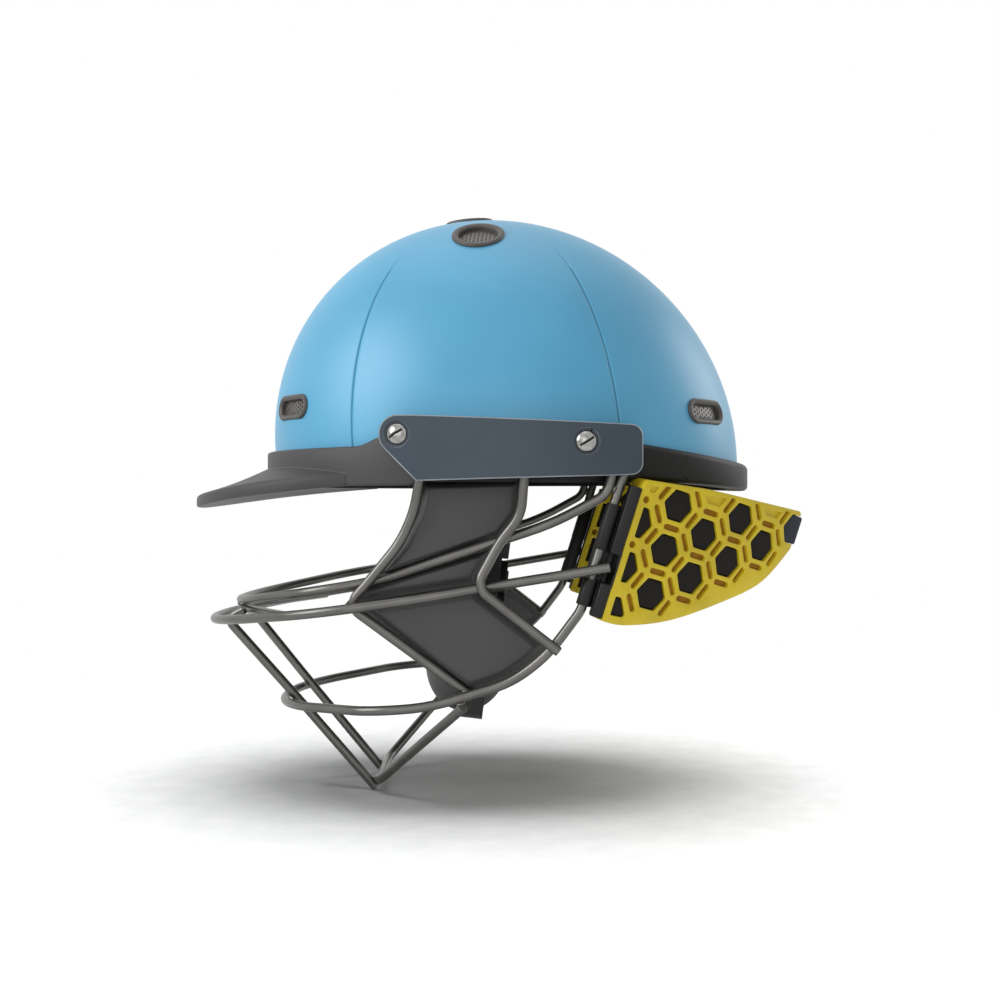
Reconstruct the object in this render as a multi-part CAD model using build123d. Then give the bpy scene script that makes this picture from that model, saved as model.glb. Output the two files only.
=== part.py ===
from build123d import *
import math
import os

# Cricket helmet: padded shell, peak, steel face guard, hinged neck guards and chin strap.
# Millimetres. +X points to the back of the head, +Y to the wearer's right, +Z up.
# The origin is the middle of the head opening, level with the chin strap side of the rim.

# Shell
shell_half_length = 131.6
shell_half_width = 105.0
shell_half_height = 131.5
shell_centre_height = 24.0
shell_lean_share = -0.07
shell_wall = 4.0
rim_height = 5.0

# Lining
liner_wall = 17.5
liner_edge = 4.0
pad_wall = 6.5
seat_gap = 0.3
front_pad_width = 110.0
front_pad_height = 42.0
rear_pad_width = 96.0
rear_pad_height = 50.0
side_pad_length = 84.0
side_pad_height = 58.0
pad_reach = 62.0
crown_pad_radius = 40.0

# Peak: a band round the front of the shell with a brim
band_proud = 4.4
band_side_proud = 2.5
band_lip = 6.0
band_bottom = 3.2
band_notch_rise = 1.2
band_front_top = 22.5
band_side_top = 29.0
band_notch = 46.4
band_step_front = 78.0
band_step_rear = 60.0
band_step_rise = 0.6
brim_reach = 176.2
brim_tip_height = -1.0
brim_tip_wall = 7.6
brim_crest_height = 13.5
brim_end = 82.6
brim_corner = 62.0
brim_crown_radius = 950.0
brim_crown_lean_share = 0.35
brim_side_share = 0.72
brim_edge_rise = 1.2
join_gap = 0.6

# Rear rim trim
trim_proud = 6.2
trim_side_top = 24.5
trim_front_rise = 4.0
trim_side_bottom = 9.0
trim_side_place = 34.0
trim_rear_top = 16.0
trim_rear_bottom = 1.4

# Ventilation openings
vent_round_outer = 28.5
vent_round_bore = 21.0
vent_slot_length = 33.0
vent_slot_height = 13.5
vent_border = 2.9
vent_proud = 1.7
vent_collar_wall = 1.1
vent_net_wall = 1.0
vent_net_depth = 1.6
vent_hole_gap = 0.25
crown_vent_side = 51.0
crown_vent_front = 15.2
centre_vent_front = 21.0
front_vent_turn = 28.5
rear_vent_turn = 34.0
front_vent_height = 46.0
rear_vent_height = 43.0
net_pitch = 2.15
net_rise = 2.365
net_rim = 1.25
net_hole_width = 1.24
net_hole_height = 1.55
level_limit = 0.1

# Side plates and what holds them
plate_front = 64.0
plate_rear = 68.0
plate_top_front = 38.9
plate_top_rear = 33.6
plate_bottom_front = 5.4
plate_bottom_rear = 8.6
plate_corner_front = 45.0
plate_bow_share = 1.3096
plate_stand_off = 9.0
plate_wall = 3.0
plate_round = 6.0
plate_front_round = 9.4
plate_diagonal_height = 24.5
screw_slot_turn = 32.0
plate_edge_break = 0.8
carrier_wall = 2.5
carrier_inset = 2.4
screw_front_place = 55.0
screw_front_height = 29.0
screw_rear_place = 39.4
screw_rear_height = 25.0
screw_head = 11.0
screw_head_height = 2.6
screw_shank = 5.0
screw_recess = 13.7
screw_recess_depth = 0.8
screw_slot = 1.2
washer_outer = 10.5
nut_flange = 14.0
nut_flange_wall = 1.5
nut_barrel = 7.6
nut_depth = 7.0
plate_edge_depth = 0.6
screw_clearance = 0.15

# Face guard
bar_diameter = 5.0
weld_gap = 0.3
bar_end_lean_share = 0.35
upper_tip_reach = 18.4
upper_tip_height = -59.9
upper_half_length = 85.0
upper_inset = 22.0
upper_slope = 0.185
upper_end = 52.6
upper_drop = (50.4, -0.8)
upper_drop_inset = 1.0
upper_turn = (24.0, 12.5, -15.4)
upper_side = (-66.0, -45.2)
upper_side_spread = 0.5
middle_tip_reach = 33.2
middle_tip_height = -70.3
middle_half_length = 115.0
middle_inset = 11.0
middle_slope = 0.139
middle_turns = [(-14.0, 12.7, -48.3), (-43.5, 11.7, -53.4)]
lower_tip_reach = -6.0
lower_tip_height = -115.9
lower_half_length = 95.0
lower_inset = 21.0
lower_slope = 0.085
lower_turns = [(20.5, 13.0, -81.5), (2.0, 16.0, -96.0), (-40.0, 19.5, -109.0)]
hinge_low = (37.0, -59.5)
hinge_high = (57.8, 7.0)
hinge_reference = -28.0
hinge_bend = 20.0
middle_end = 51.0
middle_end_height = -37.5
middle_end_run = 21.0
middle_end_fall = 3.5
front_rib_top = -43.4
front_rib_shoulder = (-46.4, -10.0)
front_rib_middle = (-53.5, -25.5)
front_rib_crossings = (-69.5, -80.5, -20.5)
front_rib_end = (2.0, -0.5)
rear_rib_top = 8.5
rear_rib_shoulder = (7.0, -12.0)
rear_rib_crossings = (-2.6, -15.5, 23.0)
rear_rib_end = (3.0, -1.6)
rib_bend_rise = 1.5
post_chin_place = (-72.6, -24.0, -164.4)
post_lower_side = 30.0
post_upper_side = 37.0
brace_front_side = 15.0
brace_rear_place = -118.0
chin_bar_side = 33.0
chin_bar_setback = 2.8
chin_bar_end = -22.0
chin_bend = 14.0
large_bend = 400.0
rib_bend = 9.0
bend_run_share = 0.45

# Cheek panels
panel_wall = 7.0
panel_gap = 0.35
upper_panel_inset = 17.0
lower_panel_inset = 18.5
upper_panel_middle = -54.0
lower_panel_places = (12.0, 0.0, -19.0)
panel_edge_break = 2.2
lower_panel_edge_break = 3.2

# Neck guards
clip_bore_gap = 0.08
clip_wall = 1.3
clip_mouth = 3.4
clip_low = -29.9
clip_high = 23.0
clip_window_low = -16.2
clip_window_high = -0.8
rail_near = 4.75
rail_far = 10.7
rail_outer = -5.0
rail_inner = 8.0
rail_low = -33.5
rail_high = 34.5
rail_window_inner = 2.5
guard_wall = 15.0
guard_start = 11.0
guard_outer = -4.0
guard_start_turn = 22.0
guard_bow_radius = 360.0
guard_border = 3.6
guard_low = -34.4
guard_high = 37.6
guard_mid = (54.0, 44.4)
guard_tip = (100.8, 49.6)
guard_tip_low = (100.8, 30.0)
guard_belly = (62.9, -12.5)
guard_belly_front = (36.0, -28.6)
guard_belly_rear = (86.0, 4.0)
cell_pitch = 23.3
cell_window = 17.0
cell_start = 2.8
cell_base = 29.8
cell_climb = 2.0
cell_rows = (3, 3, 2, 2, 1, 1)
foam_gap = 0.25
foam_recess = 0.8
foam_tip_proud = 5.0
slot_length = 7.7
slot_width = 2.1
slot_depth = 1.2
slot_border = 2.6
slot_least_share = 0.33
node_recess = 2.9
node_recess_start = 3.9
node_recess_low = -10.0
pocket_inset = 0.8

# Chin strap
strap_pivot = (-5.0, 12.0)
strap_tilt = 6.9
strap_width = 16.6
strap_wall = 2.0
pivot_inset = 17.5
pivot_shaft = 4.0
pivot_gap = 0.07
pivot_head = 8.0
pivot_head_wall = 1.4
hanger_wall = 1.6
hanger_width = 15.0
hanger_foot_width = 21.0
hanger_foot_height = 10.0
hanger_drop = 19.0
hanger_bar = 3.0
hanger_window = 4.0
strap_ply = 1.2
strap_fall = 139.0
strap_turn_side = 31.0
strap_turn_fall = 122.0
strap_base_share = 0.42
strap_bend_share = 0.4
straight_limit = 0.5
hanger_pocket_share = 2.4
cup_length = 42.6
cup_half_width = 29.0
cup_half_height = 29.0
cup_wall = 4.5
cup_depth = 34.0
cup_shift = 4.6
cup_flat = 1.2
buckle_start_share = 0.34
buckle_width = 27.0
buckle_height = 9.0
buckle_socket_length = 22.0
buckle_plug_length = 9.0
buckle_wall = 1.8
prong_wall = 3.2
prong_length = 12.0
prong_travel = 1.8
prong_gap = 0.4
slide_share = 0.2
slide_length = 9.0
slide_wall = 1.6

over = 40.0
unit = 1.0
near_start = 0.0
near_front = 0.25
near_end = 0.5
halvings = 40
bar_radius = bar_diameter / 2
plate_bow_radius = plate_bow_share * shell_half_length**2 / shell_half_width
plate_half_width = shell_half_width + plate_stand_off
upper_tip = shell_half_length + upper_tip_reach
middle_tip = shell_half_length + middle_tip_reach
lower_tip = shell_half_length + lower_tip_reach
upper_half_width = plate_half_width - upper_inset
middle_half_width = plate_half_width - middle_inset
lower_half_width = plate_half_width - lower_inset
pivot_side = shell_half_width - pivot_inset
bar_pitch = bar_diameter + weld_gap
octagon_share = math.tan(math.pi / 8)


def dome(grow):
    # Filled dome whose surface lies about grow outside the shell's outer face.
    half_length = shell_half_length + grow
    half_width = shell_half_width + grow
    half_height = shell_half_height + grow
    rows = [
        [half_length, 0, shell_lean_share * half_height, 0],
        [0, half_width, 0, 0],
        [0, 0, half_height, shell_centre_height],
    ]
    return Solid.make_sphere(unit).transform_geometry(Matrix(rows))


def dome_point(turn_x, turn_y, grow):
    # Point and outward direction on the dome, from two shares of its half length and half width.
    turn_z = math.sqrt(1 - turn_x**2 - turn_y**2)
    half_length = shell_half_length + grow
    half_width = shell_half_width + grow
    half_height = shell_half_height + grow
    lift = turn_z * half_height
    forward = turn_x * half_length + shell_lean_share * lift
    place = Vector(forward, turn_y * half_width, lift + shell_centre_height)
    out_x = turn_x / half_length
    out_z = turn_z / half_height - shell_lean_share * out_x
    return place, Vector(out_x, turn_y / half_width, out_z).normalized()


def dome_side(place, height, grow):
    # Distance of the dome's side from the middle plane at one place and height.
    lift = height - shell_centre_height
    level = 1 - (lift / (shell_half_height + grow)) ** 2
    along = (place - shell_lean_share * lift) / (shell_half_length + grow)
    return (shell_half_width + grow) * math.sqrt(level - along**2)


def block(low, high):
    # Box between two opposite corners.
    size = [high[i] - low[i] for i in range(3)]
    middle = [(high[i] + low[i]) / 2 for i in range(3)]
    return Pos(*middle) * Box(*size)


def oval_prism(grow_length, grow_side, low, high):
    # Upright oval column round the head.
    outline = Ellipse(shell_half_length + grow_length, shell_half_width + grow_side)
    return Pos(0, 0, low) * extrude(outline, high - low)


def side_prism(points, low_side, high_side):
    # Prism across the head from an outline seen from the side.
    outline = make_face(Polyline(*[(x, 0, z) for x, z in points], close=True))
    return Pos(0, high_side, 0) * extrude(outline, high_side - low_side, dir=(0, -1, 0))


def mirrored(shape):
    return mirror(shape, about=Plane.XZ)


def joined(pieces):
    return Compound(children=list(pieces))


def save(name, shape):
    export_step(shape, "parts/" + name + ".step")


# Bars are straight runs joined by tangent bends.
def bend_radii(points, limits):
    radii = []
    for i in range(1, len(points) - 1):
        before = points[i] - points[i - 1]
        after = points[i + 1] - points[i]
        shorter = min(before.length, after.length)
        turn = math.radians(before.get_angle(after))
        radii.append(min(limits[i - 1], bend_run_share * shorter / math.tan(turn / 2)))
    return radii


def bar_path(points, limits=None):
    corners = [Vector(*point) for point in points]
    limits = limits or [large_bend] * (len(corners) - 2)
    if len(corners) == 2:
        return Line(*corners)
    return FilletPolyline(*corners, radius=bend_radii(corners, limits))


def bar_solid(path, radius=bar_radius):
    section = Plane(origin=path @ 0, z_dir=path % 0) * Circle(radius)
    return sweep(section, path=path)


def path_at(path, place):
    # Point of a near side path at one distance along X, and its direction there.
    low, high = near_start, near_end
    for step in range(halvings):
        middle = (low + high) / 2
        if (path @ middle).X > place:
            low = middle
        else:
            high = middle
    return path @ low, path % low


def path_at_side(path, side):
    # Point of a near side path at one distance from the middle plane.
    low, high = near_front, near_end
    for step in range(halvings):
        middle = (low + high) / 2
        if abs((path @ middle).Y) > side:
            low = middle
        else:
            high = middle
    return path @ low, path % low


def beside(spot, direction, offset):
    # Shift sideways from a bar in plan, inwards when the offset is positive.
    flat = Vector(direction.X, direction.Y, 0).normalized()
    inward = Vector(-flat.Y, flat.X, 0)
    if inward.Y < 0:
        inward = inward * -1
    return spot + inward * offset


def oval_front(tip, half_length, half_width, tip_height, slope):
    # Corners of the near half of a loop's rounded front.
    centre = half_length - tip
    shoulder = centre - octagon_share * half_length
    shoulder_height = tip_height + slope * (shoulder + tip)
    return [(shoulder, -half_width, shoulder_height), (-tip, -octagon_share * half_width, tip_height)]


def whole_loop(near, first_bends=()):
    far = [(x, -y, z) for x, y, z in reversed(near)]
    limits = [large_bend] * (2 * len(near) - 2)
    for i, limit in enumerate(first_bends):
        limits[i] = limit
        limits[-1 - i] = limit
    return bar_path(near + far, limits)


def plate_arc_side(radius, place):
    # Distance from the middle plane of a bowed plate face at one place.
    middle = (plate_rear - plate_front) / 2
    return math.sqrt(radius**2 - (place - middle) ** 2) - (plate_bow_radius - plate_half_width)


def plate_bottom(place):
    share = (place + plate_corner_front) / (plate_rear + plate_corner_front)
    return plate_bottom_front + share * (plate_bottom_rear - plate_bottom_front)


carrier_outer_radius = plate_bow_radius - plate_wall - seat_gap
bar_seat_radius = carrier_outer_radius - bar_radius


def carrier_side(place):
    # Distance from the middle plane of the bars that end under the carrier.
    return plate_arc_side(bar_seat_radius, place)


def carrier_bottom(place):
    return plate_bottom(place) + carrier_inset


def bar_top(place):
    # Upper end of a bar that butts against the carrier's lower edge.
    height = carrier_bottom(place) - weld_gap - bar_radius * bar_end_lean_share
    return (place, -carrier_side(place), height)


# Hinge line of the neck guard, which is the straight rear upright of the lower bar.
hinge_rise = hinge_high[1] - hinge_low[1]
hinge_run = hinge_high[0] - hinge_low[0]
hinge_side = -carrier_side(hinge_high[0])
hinge_direction = Vector(hinge_run, 0, hinge_rise).normalized()
hinge_reference_share = (hinge_reference - hinge_low[1]) / hinge_rise
hinge_place = Vector(hinge_low[0] + hinge_reference_share * hinge_run, hinge_side, hinge_reference)
hinge_across = Vector(hinge_direction.Z, 0, -hinge_direction.X)
hinge_plane = Plane(origin=hinge_place, x_dir=hinge_across, z_dir=hinge_direction)


def hinge_point(height):
    share = (height - hinge_low[1]) / hinge_rise
    return hinge_low[0] + share * hinge_run


def near_corners(points):
    # Corners on the near side, from distances along, inwards from the plates, and up.
    return [(x, inset - plate_half_width, z) for x, inset, z in points]


def upper_loop():
    drop_place, drop_height = upper_drop
    side_place, side_height = upper_side
    near = [bar_top(upper_end), (drop_place, upper_drop_inset - carrier_side(drop_place), drop_height)]
    near += near_corners([upper_turn])
    near.append((side_place, -upper_half_width - upper_side_spread, side_height))
    near += oval_front(upper_tip, upper_half_length, upper_half_width, upper_tip_height, upper_slope)
    return whole_loop(near)


def middle_loop():
    # The rear end lies outside the rear upright and stands a little past it.
    side = hinge_side - bar_pitch
    near = [
        (middle_end, side, middle_end_height),
        (middle_end - middle_end_run, side, middle_end_height - middle_end_fall),
    ]
    near += near_corners(middle_turns)
    near += oval_front(middle_tip, middle_half_length, middle_half_width, middle_tip_height, middle_slope)
    return whole_loop(near)


def lower_loop():
    top_height = bar_top(hinge_high[0])[2]
    near = [
        (hinge_point(top_height), hinge_side, top_height),
        (hinge_low[0], hinge_side, hinge_low[1]),
    ]
    near += near_corners(lower_turns)
    near += oval_front(lower_tip, lower_half_length, lower_half_width, lower_tip_height, lower_slope)
    return whole_loop(near, [hinge_bend])


upper_path = upper_loop()
middle_path = middle_loop()
lower_path = lower_loop()


def front_rib_points():
    # Outside the upper bar, inside the middle and lower bars.
    upper_place, middle_place, lower_place = front_rib_crossings
    upper_spot, upper_way = path_at(upper_path, upper_place)
    middle_spot, middle_way = path_at(middle_path, middle_place)
    lower_spot, lower_way = path_at(lower_path, lower_place)
    crossing = beside(upper_spot, upper_way, -bar_pitch)
    bend = beside(middle_spot, middle_way, bar_pitch) + Vector(0, 0, rib_bend_rise)
    end = beside(lower_spot, lower_way, bar_pitch) + Vector(front_rib_end[0], 0, front_rib_end[1])
    top = Vector(*bar_top(front_rib_top))
    shoulder_place, shoulder_height = front_rib_shoulder
    shoulder = Vector(shoulder_place, (top.Y * 2 + crossing.Y) / 3, shoulder_height)
    middle_place, middle_height = front_rib_middle
    middle = Vector(middle_place, (top.Y + 3 * crossing.Y) / 4, middle_height)
    return [top, shoulder, middle, crossing, bend, end]


def rear_rib_points():
    # Outside all three bars, with its end standing a little past the lower bar.
    upper_place, middle_place, lower_place = rear_rib_crossings
    upper_spot, upper_way = path_at(upper_path, upper_place)
    middle_spot, middle_way = path_at(middle_path, middle_place)
    lower_spot, lower_way = path_at(lower_path, lower_place)
    crossing = beside(upper_spot, upper_way, -bar_pitch)
    bend = beside(middle_spot, middle_way, -bar_pitch) + Vector(0, 0, rib_bend_rise)
    end = beside(lower_spot, lower_way, -bar_pitch) + Vector(rear_rib_end[0], 0, rear_rib_end[1])
    top = Vector(*bar_top(rear_rib_top))
    shoulder_place, shoulder_height = rear_rib_shoulder
    shoulder = Vector(shoulder_place, (top.Y + crossing.Y) / 2, shoulder_height)
    return [top, shoulder, crossing, bend, end]


front_rib_line = front_rib_points()
rear_rib_line = rear_rib_points()
front_rib_limits = [large_bend, large_bend, large_bend, rib_bend]
rear_rib_limits = [large_bend, large_bend, rib_bend]


def guard_post():
    lower_spot, lower_way = path_at_side(lower_path, post_lower_side)
    middle_spot, middle_way = path_at_side(middle_path, post_upper_side)
    upper_spot, upper_way = path_at_side(upper_path, post_upper_side)
    chin = Vector(*post_chin_place)
    rise = (lower_spot.Z - chin.Z) / (lower_spot - chin).length
    low_corner = beside_front(lower_spot, lower_way, bar_pitch / rise)
    high_corner = beside_front(middle_spot, middle_way, bar_pitch)
    end = upper_spot - Vector(0, 0, bar_pitch)
    return [chin, low_corner, high_corner, end]


def beside_front(spot, direction, offset):
    # Shift backwards in plan from the rounded front of a loop.
    flat = Vector(direction.X, direction.Y, 0).normalized()
    inward = Vector(-flat.Y, flat.X, 0)
    if inward.X < 0:
        inward = inward * -1
    return spot + inward * offset


def guard_brace():
    upper_spot, upper_way = path_at_side(upper_path, brace_front_side)
    middle_spot, middle_way = path_at(middle_path, brace_rear_place)
    start = upper_spot - Vector(0, 0, bar_pitch)
    return [start, beside_front(middle_spot, middle_way, bar_pitch)]


def chin_bar():
    lower_spot, lower_way = path_at(lower_path, chin_bar_end)
    end = (chin_bar_end, lower_spot.Y, lower_spot.Z - bar_pitch)
    chin, corner = guard_post()[:2]
    way = Vector(corner.X - chin.X, 0, corner.Z - chin.Z).normalized()
    seat = chin + way * chin_bar_setback + Vector(way.Z, 0, -way.X) * bar_pitch
    near = [end, (seat.X, -chin_bar_side, seat.Z)]
    far = [(x, -y, z) for x, y, z in reversed(near)]
    return bar_path(near + far, [chin_bend, chin_bend])


def build_guard():
    save("grille_upper_bar", bar_solid(upper_path))
    save("grille_middle_bar", bar_solid(middle_path))
    save("grille_lower_bar", bar_solid(lower_path))
    save("grille_chin_bar", bar_solid(chin_bar()))
    front_rib = bar_solid(bar_path(front_rib_line, front_rib_limits))
    rear_rib = bar_solid(bar_path(rear_rib_line, rear_rib_limits))
    post = bar_solid(bar_path(guard_post()))
    brace = bar_solid(bar_path(guard_brace()))
    pairs = {"front_rib": front_rib, "rear_rib": rear_rib, "post": post, "brace": brace}
    for name, near in pairs.items():
        save("grille_" + name + "_left", near)
        save("grille_" + name + "_right", mirrored(near))


# Cheek panels fill the gaps between the bars on each side.
def flat_spot(path, place):
    spot = path_at(path, place)[0]
    return (spot.X, spot.Z)


def panel(points, side_inset, edge_break):
    outline = make_face(Polyline(*points, close=True))
    inset = offset(outline, -(bar_radius + panel_gap), kind=Kind.INTERSECTION)
    solid = extrude(Plane.XZ * inset, panel_wall)
    solid = Pos(0, panel_wall + side_inset - plate_half_width, 0) * solid
    outer = solid.faces().sort_by(Axis.Y)[0]
    return chamfer(outer.edges(), edge_break)


def build_panels():
    front = [(p.X, p.Z) for p in front_rib_line]
    rear = [(p.X, p.Z) for p in rear_rib_line]
    upper_front = flat_spot(upper_path, front_rib_crossings[0])
    upper_rear = flat_spot(upper_path, rear_rib_crossings[0])
    upper_mid = flat_spot(upper_path, upper_panel_middle)
    upper_points = [front[0], front[1], front[2], upper_front, upper_mid, upper_rear, rear[1], rear[0]]
    middle_points = [upper_front, upper_mid, upper_rear, rear[3], front[4]]
    lower_points = [front[4], rear[3], flat_spot(lower_path, rear_rib_crossings[2])]
    lower_points += [flat_spot(lower_path, place) for place in lower_panel_places]
    panels = {
        "upper": panel(upper_points, upper_panel_inset, panel_edge_break),
        "middle": panel(middle_points, lower_panel_inset, panel_edge_break),
        "lower": panel(lower_points, lower_panel_inset, lower_panel_edge_break),
    }
    for name, near in panels.items():
        save("cheek_panel_" + name + "_left", near)
        save("cheek_panel_" + name + "_right", mirrored(near))


# Side plate outline, seen from the side, drawn inset by the same amount all round.
def plate_outline(inset):
    points = [
        (-plate_front, plate_diagonal_height),
        (-plate_front, plate_top_front),
        (plate_rear, plate_top_rear),
        (plate_rear, plate_bottom_rear),
        (-plate_corner_front, plate_bottom_front),
    ]
    face = make_face(Polyline(*points, close=True))
    face = fillet(face.vertices().group_by(Axis.X)[-1], plate_round)
    top_corner = face.vertices().group_by(Axis.X)[0].sort_by(Axis.Y)[-1]
    face = fillet(top_corner, plate_front_round)
    face = fillet(face.vertices().sort_by(Axis.X)[:1], plate_front_round)
    if inset:
        face = offset(face, -inset, kind=Kind.INTERSECTION)
    return Plane.XZ * face


def bowed_slab(outline, outer_radius, wall):
    # Near side slab with a bowed plan, cut to an outline seen from the side.
    middle = (plate_rear - plate_front) / 2
    centre_side = plate_bow_radius - plate_half_width
    ring = Cylinder(outer_radius, over * 3) - Cylinder(outer_radius - wall, over * 3)
    ring = Pos(middle, centre_side, 0) * ring
    column = Pos(0, -shell_half_width / 2, 0) * extrude(outline, shell_half_width)
    return ring & column


def screw_frame(place, height, radius):
    # Local frame on a bowed face, with its Z axis pointing out of the helmet.
    middle = (plate_rear - plate_front) / 2
    side = -plate_arc_side(radius, place)
    away = Vector(place - middle, side - (plate_bow_radius - plate_half_width), 0).normalized()
    return Plane(origin=(place, side, height), x_dir=away.cross(Vector(0, 0, 1)), z_dir=away)


screw_places = [(-screw_front_place, screw_front_height), (screw_rear_place, screw_rear_height)]


def screw_rod(place, height, radius, low, high):
    # Round rod along a screw's axis, measured from the plate's outer face.
    frame = screw_frame(place, height, plate_bow_radius)
    rod = Pos(0, 0, (low + high) / 2) * Cylinder(radius, high - low)
    return frame * rod


def screw_hole_cut(shape, radius):
    for place, height in screw_places:
        shape = shape - screw_rod(place, height, radius, -over, over / 2)
    return shape


def wall_depth(place, height):
    # Depth of the shell's outer and inner faces under a screw, along its axis.
    frame = screw_frame(place, height, plate_bow_radius)
    depths = []
    for grow in (0, -shell_wall):
        low, high = 0, over
        for step in range(halvings):
            middle = (low + high) / 2
            spot = frame.origin - frame.z_dir * middle
            if abs(spot.Y) > dome_side(spot.X, spot.Z, grow):
                low = middle
            else:
                high = middle
        depths.append(low)
    return depths


def build_plates():
    plate = bowed_slab(plate_outline(0), plate_bow_radius, plate_wall)
    outer = plate.faces().filter_by(GeomType.CYLINDER).sort_by(Axis.Y)[0]
    plate = chamfer(outer.edges(), plate_edge_depth)
    carrier = bowed_slab(plate_outline(carrier_inset), carrier_outer_radius, carrier_wall)
    for place, height in screw_places:
        recess = screw_rod(place, height, screw_recess / 2, -screw_recess_depth, over / 4)
        plate = plate - recess
    plate = screw_hole_cut(plate, screw_shank / 2 + screw_clearance)
    carrier = screw_hole_cut(carrier, screw_shank / 2 + screw_clearance)
    screws, washers, nuts = [], [], []
    for place, height in screw_places:
        frame = screw_frame(place, height, plate_bow_radius)
        outer_depth, inner_depth = wall_depth(place, height)
        screws.append(plate_screw(frame, inner_depth))
        washers.append(plate_washer(frame, outer_depth))
        nuts.append(plate_nut(frame, inner_depth))
    save("side_plate_left", plate)
    save("side_plate_right", mirrored(plate))
    save("grille_carrier_left", carrier)
    save("grille_carrier_right", mirrored(carrier))
    for name, near in (("plate_screws", screws), ("plate_washers", washers), ("plate_tee_nuts", nuts)):
        save(name, joined(near + [mirrored(piece) for piece in near]))


def plate_screw(frame, inner_depth):
    # Low domed head with a slot, on a plain shank that reaches into the tee nut.
    head_radius = screw_head / 2
    ball = (head_radius**2 + screw_head_height**2) / (2 * screw_head_height)
    seat = -screw_recess_depth + seat_gap / 2
    head = Pos(0, 0, seat + screw_head_height - ball) * Sphere(ball)
    head = head & (Pos(0, 0, seat + screw_head_height / 2) * Cylinder(head_radius, screw_head_height))
    slot_depth_in = screw_head_height / 2
    slot = Rot(0, 0, screw_slot_turn) * Box(screw_head * 2, screw_slot, slot_depth_in * 2)
    slot = Pos(0, 0, seat + screw_head_height) * slot
    length = inner_depth + nut_depth - seat_gap + seat
    shank = Pos(0, 0, seat - length / 2) * Cylinder(screw_shank / 2, length)
    return frame * ((head - slot) + shank)


def plate_washer(frame, outer_depth):
    # Rubber spacer between the carrier and the shell.
    top = plate_wall + seat_gap + carrier_wall + seat_gap
    height = max(outer_depth - top + over / 4, seat_gap)
    ring = Cylinder(washer_outer / 2, height) - Cylinder(screw_shank / 2 + screw_clearance, height)
    ring = frame * (Pos(0, 0, -top - height / 2) * ring)
    return largest(ring - dome(seat_gap))


def largest(shape):
    return max(shape.solids(), key=lambda solid: solid.volume)


def plate_nut(frame, inner_depth):
    # Flanged barrel nut inside the shell.
    top = -inner_depth - seat_gap * 3
    flange = Pos(0, 0, top - nut_flange_wall / 2) * Cylinder(nut_flange / 2, nut_flange_wall)
    barrel = Pos(0, 0, top - nut_depth / 2) * Cylinder(nut_barrel / 2, nut_depth)
    bore = Pos(0, 0, top) * Cylinder(screw_shank / 2 + screw_clearance, over)
    return frame * ((flange + barrel) - bore)


def nut_pocket_cut(shape):
    for place, height in screw_places:
        frame = screw_frame(place, height, plate_bow_radius)
        inner_depth = wall_depth(place, height)[1]
        depth = inner_depth + nut_depth + seat_gap * 4
        pocket = frame * (Pos(0, 0, -depth / 2) * Cylinder(nut_flange / 2 + seat_gap, depth))
        shape = shape - pocket - mirrored(pocket)
    return shape


# Ventilation openings follow the curve of the shell.
def vent_frames():
    crown_share = -crown_vent_front / shell_half_length
    side_share = -crown_vent_side / shell_half_width
    centre_share = -centre_vent_front / shell_half_length
    crown_share += -shell_lean_share * math.sqrt(1 - side_share**2) * shell_half_height / shell_half_length
    centre_share += -shell_lean_share * shell_half_height / shell_half_length
    spots = {
        "crown": [(crown_share, side_share), (centre_share, 0), (crown_share, -side_share)],
        "front": slot_spots(front_vent_turn, front_vent_height, -1),
        "rear": slot_spots(rear_vent_turn, rear_vent_height, 1),
    }
    return {name: [vent_plane(*spot) for spot in places] for name, places in spots.items()}


def slot_spots(turn, height, sign):
    level = math.sqrt(1 - ((height - shell_centre_height) / shell_half_height) ** 2)
    forward = sign * level * math.cos(math.radians(turn))
    sideways = level * math.sin(math.radians(turn))
    return [(forward, -sideways), (forward, sideways)]


def vent_plane(turn_x, turn_y):
    place, out = dome_point(turn_x, turn_y, 0)
    level = Vector(0, 0, 1).cross(out)
    if level.length < level_limit:
        level = Vector(0, 1, 0)
    return Plane(origin=place, x_dir=level, z_dir=out)


def vent_shape(name, inset):
    if name == "crown":
        return Circle(vent_round_outer / 2 - inset)
    return SlotOverall(vent_slot_length - 2 * inset, vent_slot_height - 2 * inset)


def vent_prism(name, frame, inset):
    return frame * (Pos(0, 0, -over / 2) * extrude(vent_shape(name, inset), over))


def vent_bore(name):
    if name == "crown":
        return (vent_round_outer - vent_round_bore) / 2
    return vent_border


def vent_cut(shape, planes, extra):
    # Openings through a layer of the dome.
    for name, frames in planes.items():
        for frame in frames:
            shape = shape - vent_prism(name, frame, vent_bore(name) - extra)
    return shape


def vent_net(name, frame, inset):
    # Flat net inside the frame's collar, with staggered diamond holes.
    reach = vent_round_bore / 2 - net_rim
    straight = 0
    if name != "crown":
        reach = vent_slot_height / 2 - vent_border - net_rim
        straight = (vent_slot_length - vent_slot_height) / 2
    half_wide = net_hole_width / 2
    half_high = net_hole_height / 2
    hole = Polygon((half_wide, 0), (0, half_high), (-half_wide, 0), (0, -half_high))
    columns = int((straight + reach) / net_pitch)
    rows = int(reach / net_rise) + 1
    holes = []
    for i in range(-columns, columns + 1):
        for j in range(-rows, rows + 1):
            x = i * net_pitch
            y = (j + (i % 2) / 2) * net_rise
            if math.hypot(max(0, abs(x) - straight), y) < reach:
                holes.append(Pos(x, y, 0) * hole)
    net = extrude(vent_shape(name, inset) - holes, vent_net_wall)
    return frame * (Pos(0, 0, -vent_net_depth - vent_net_wall) * net)


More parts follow.
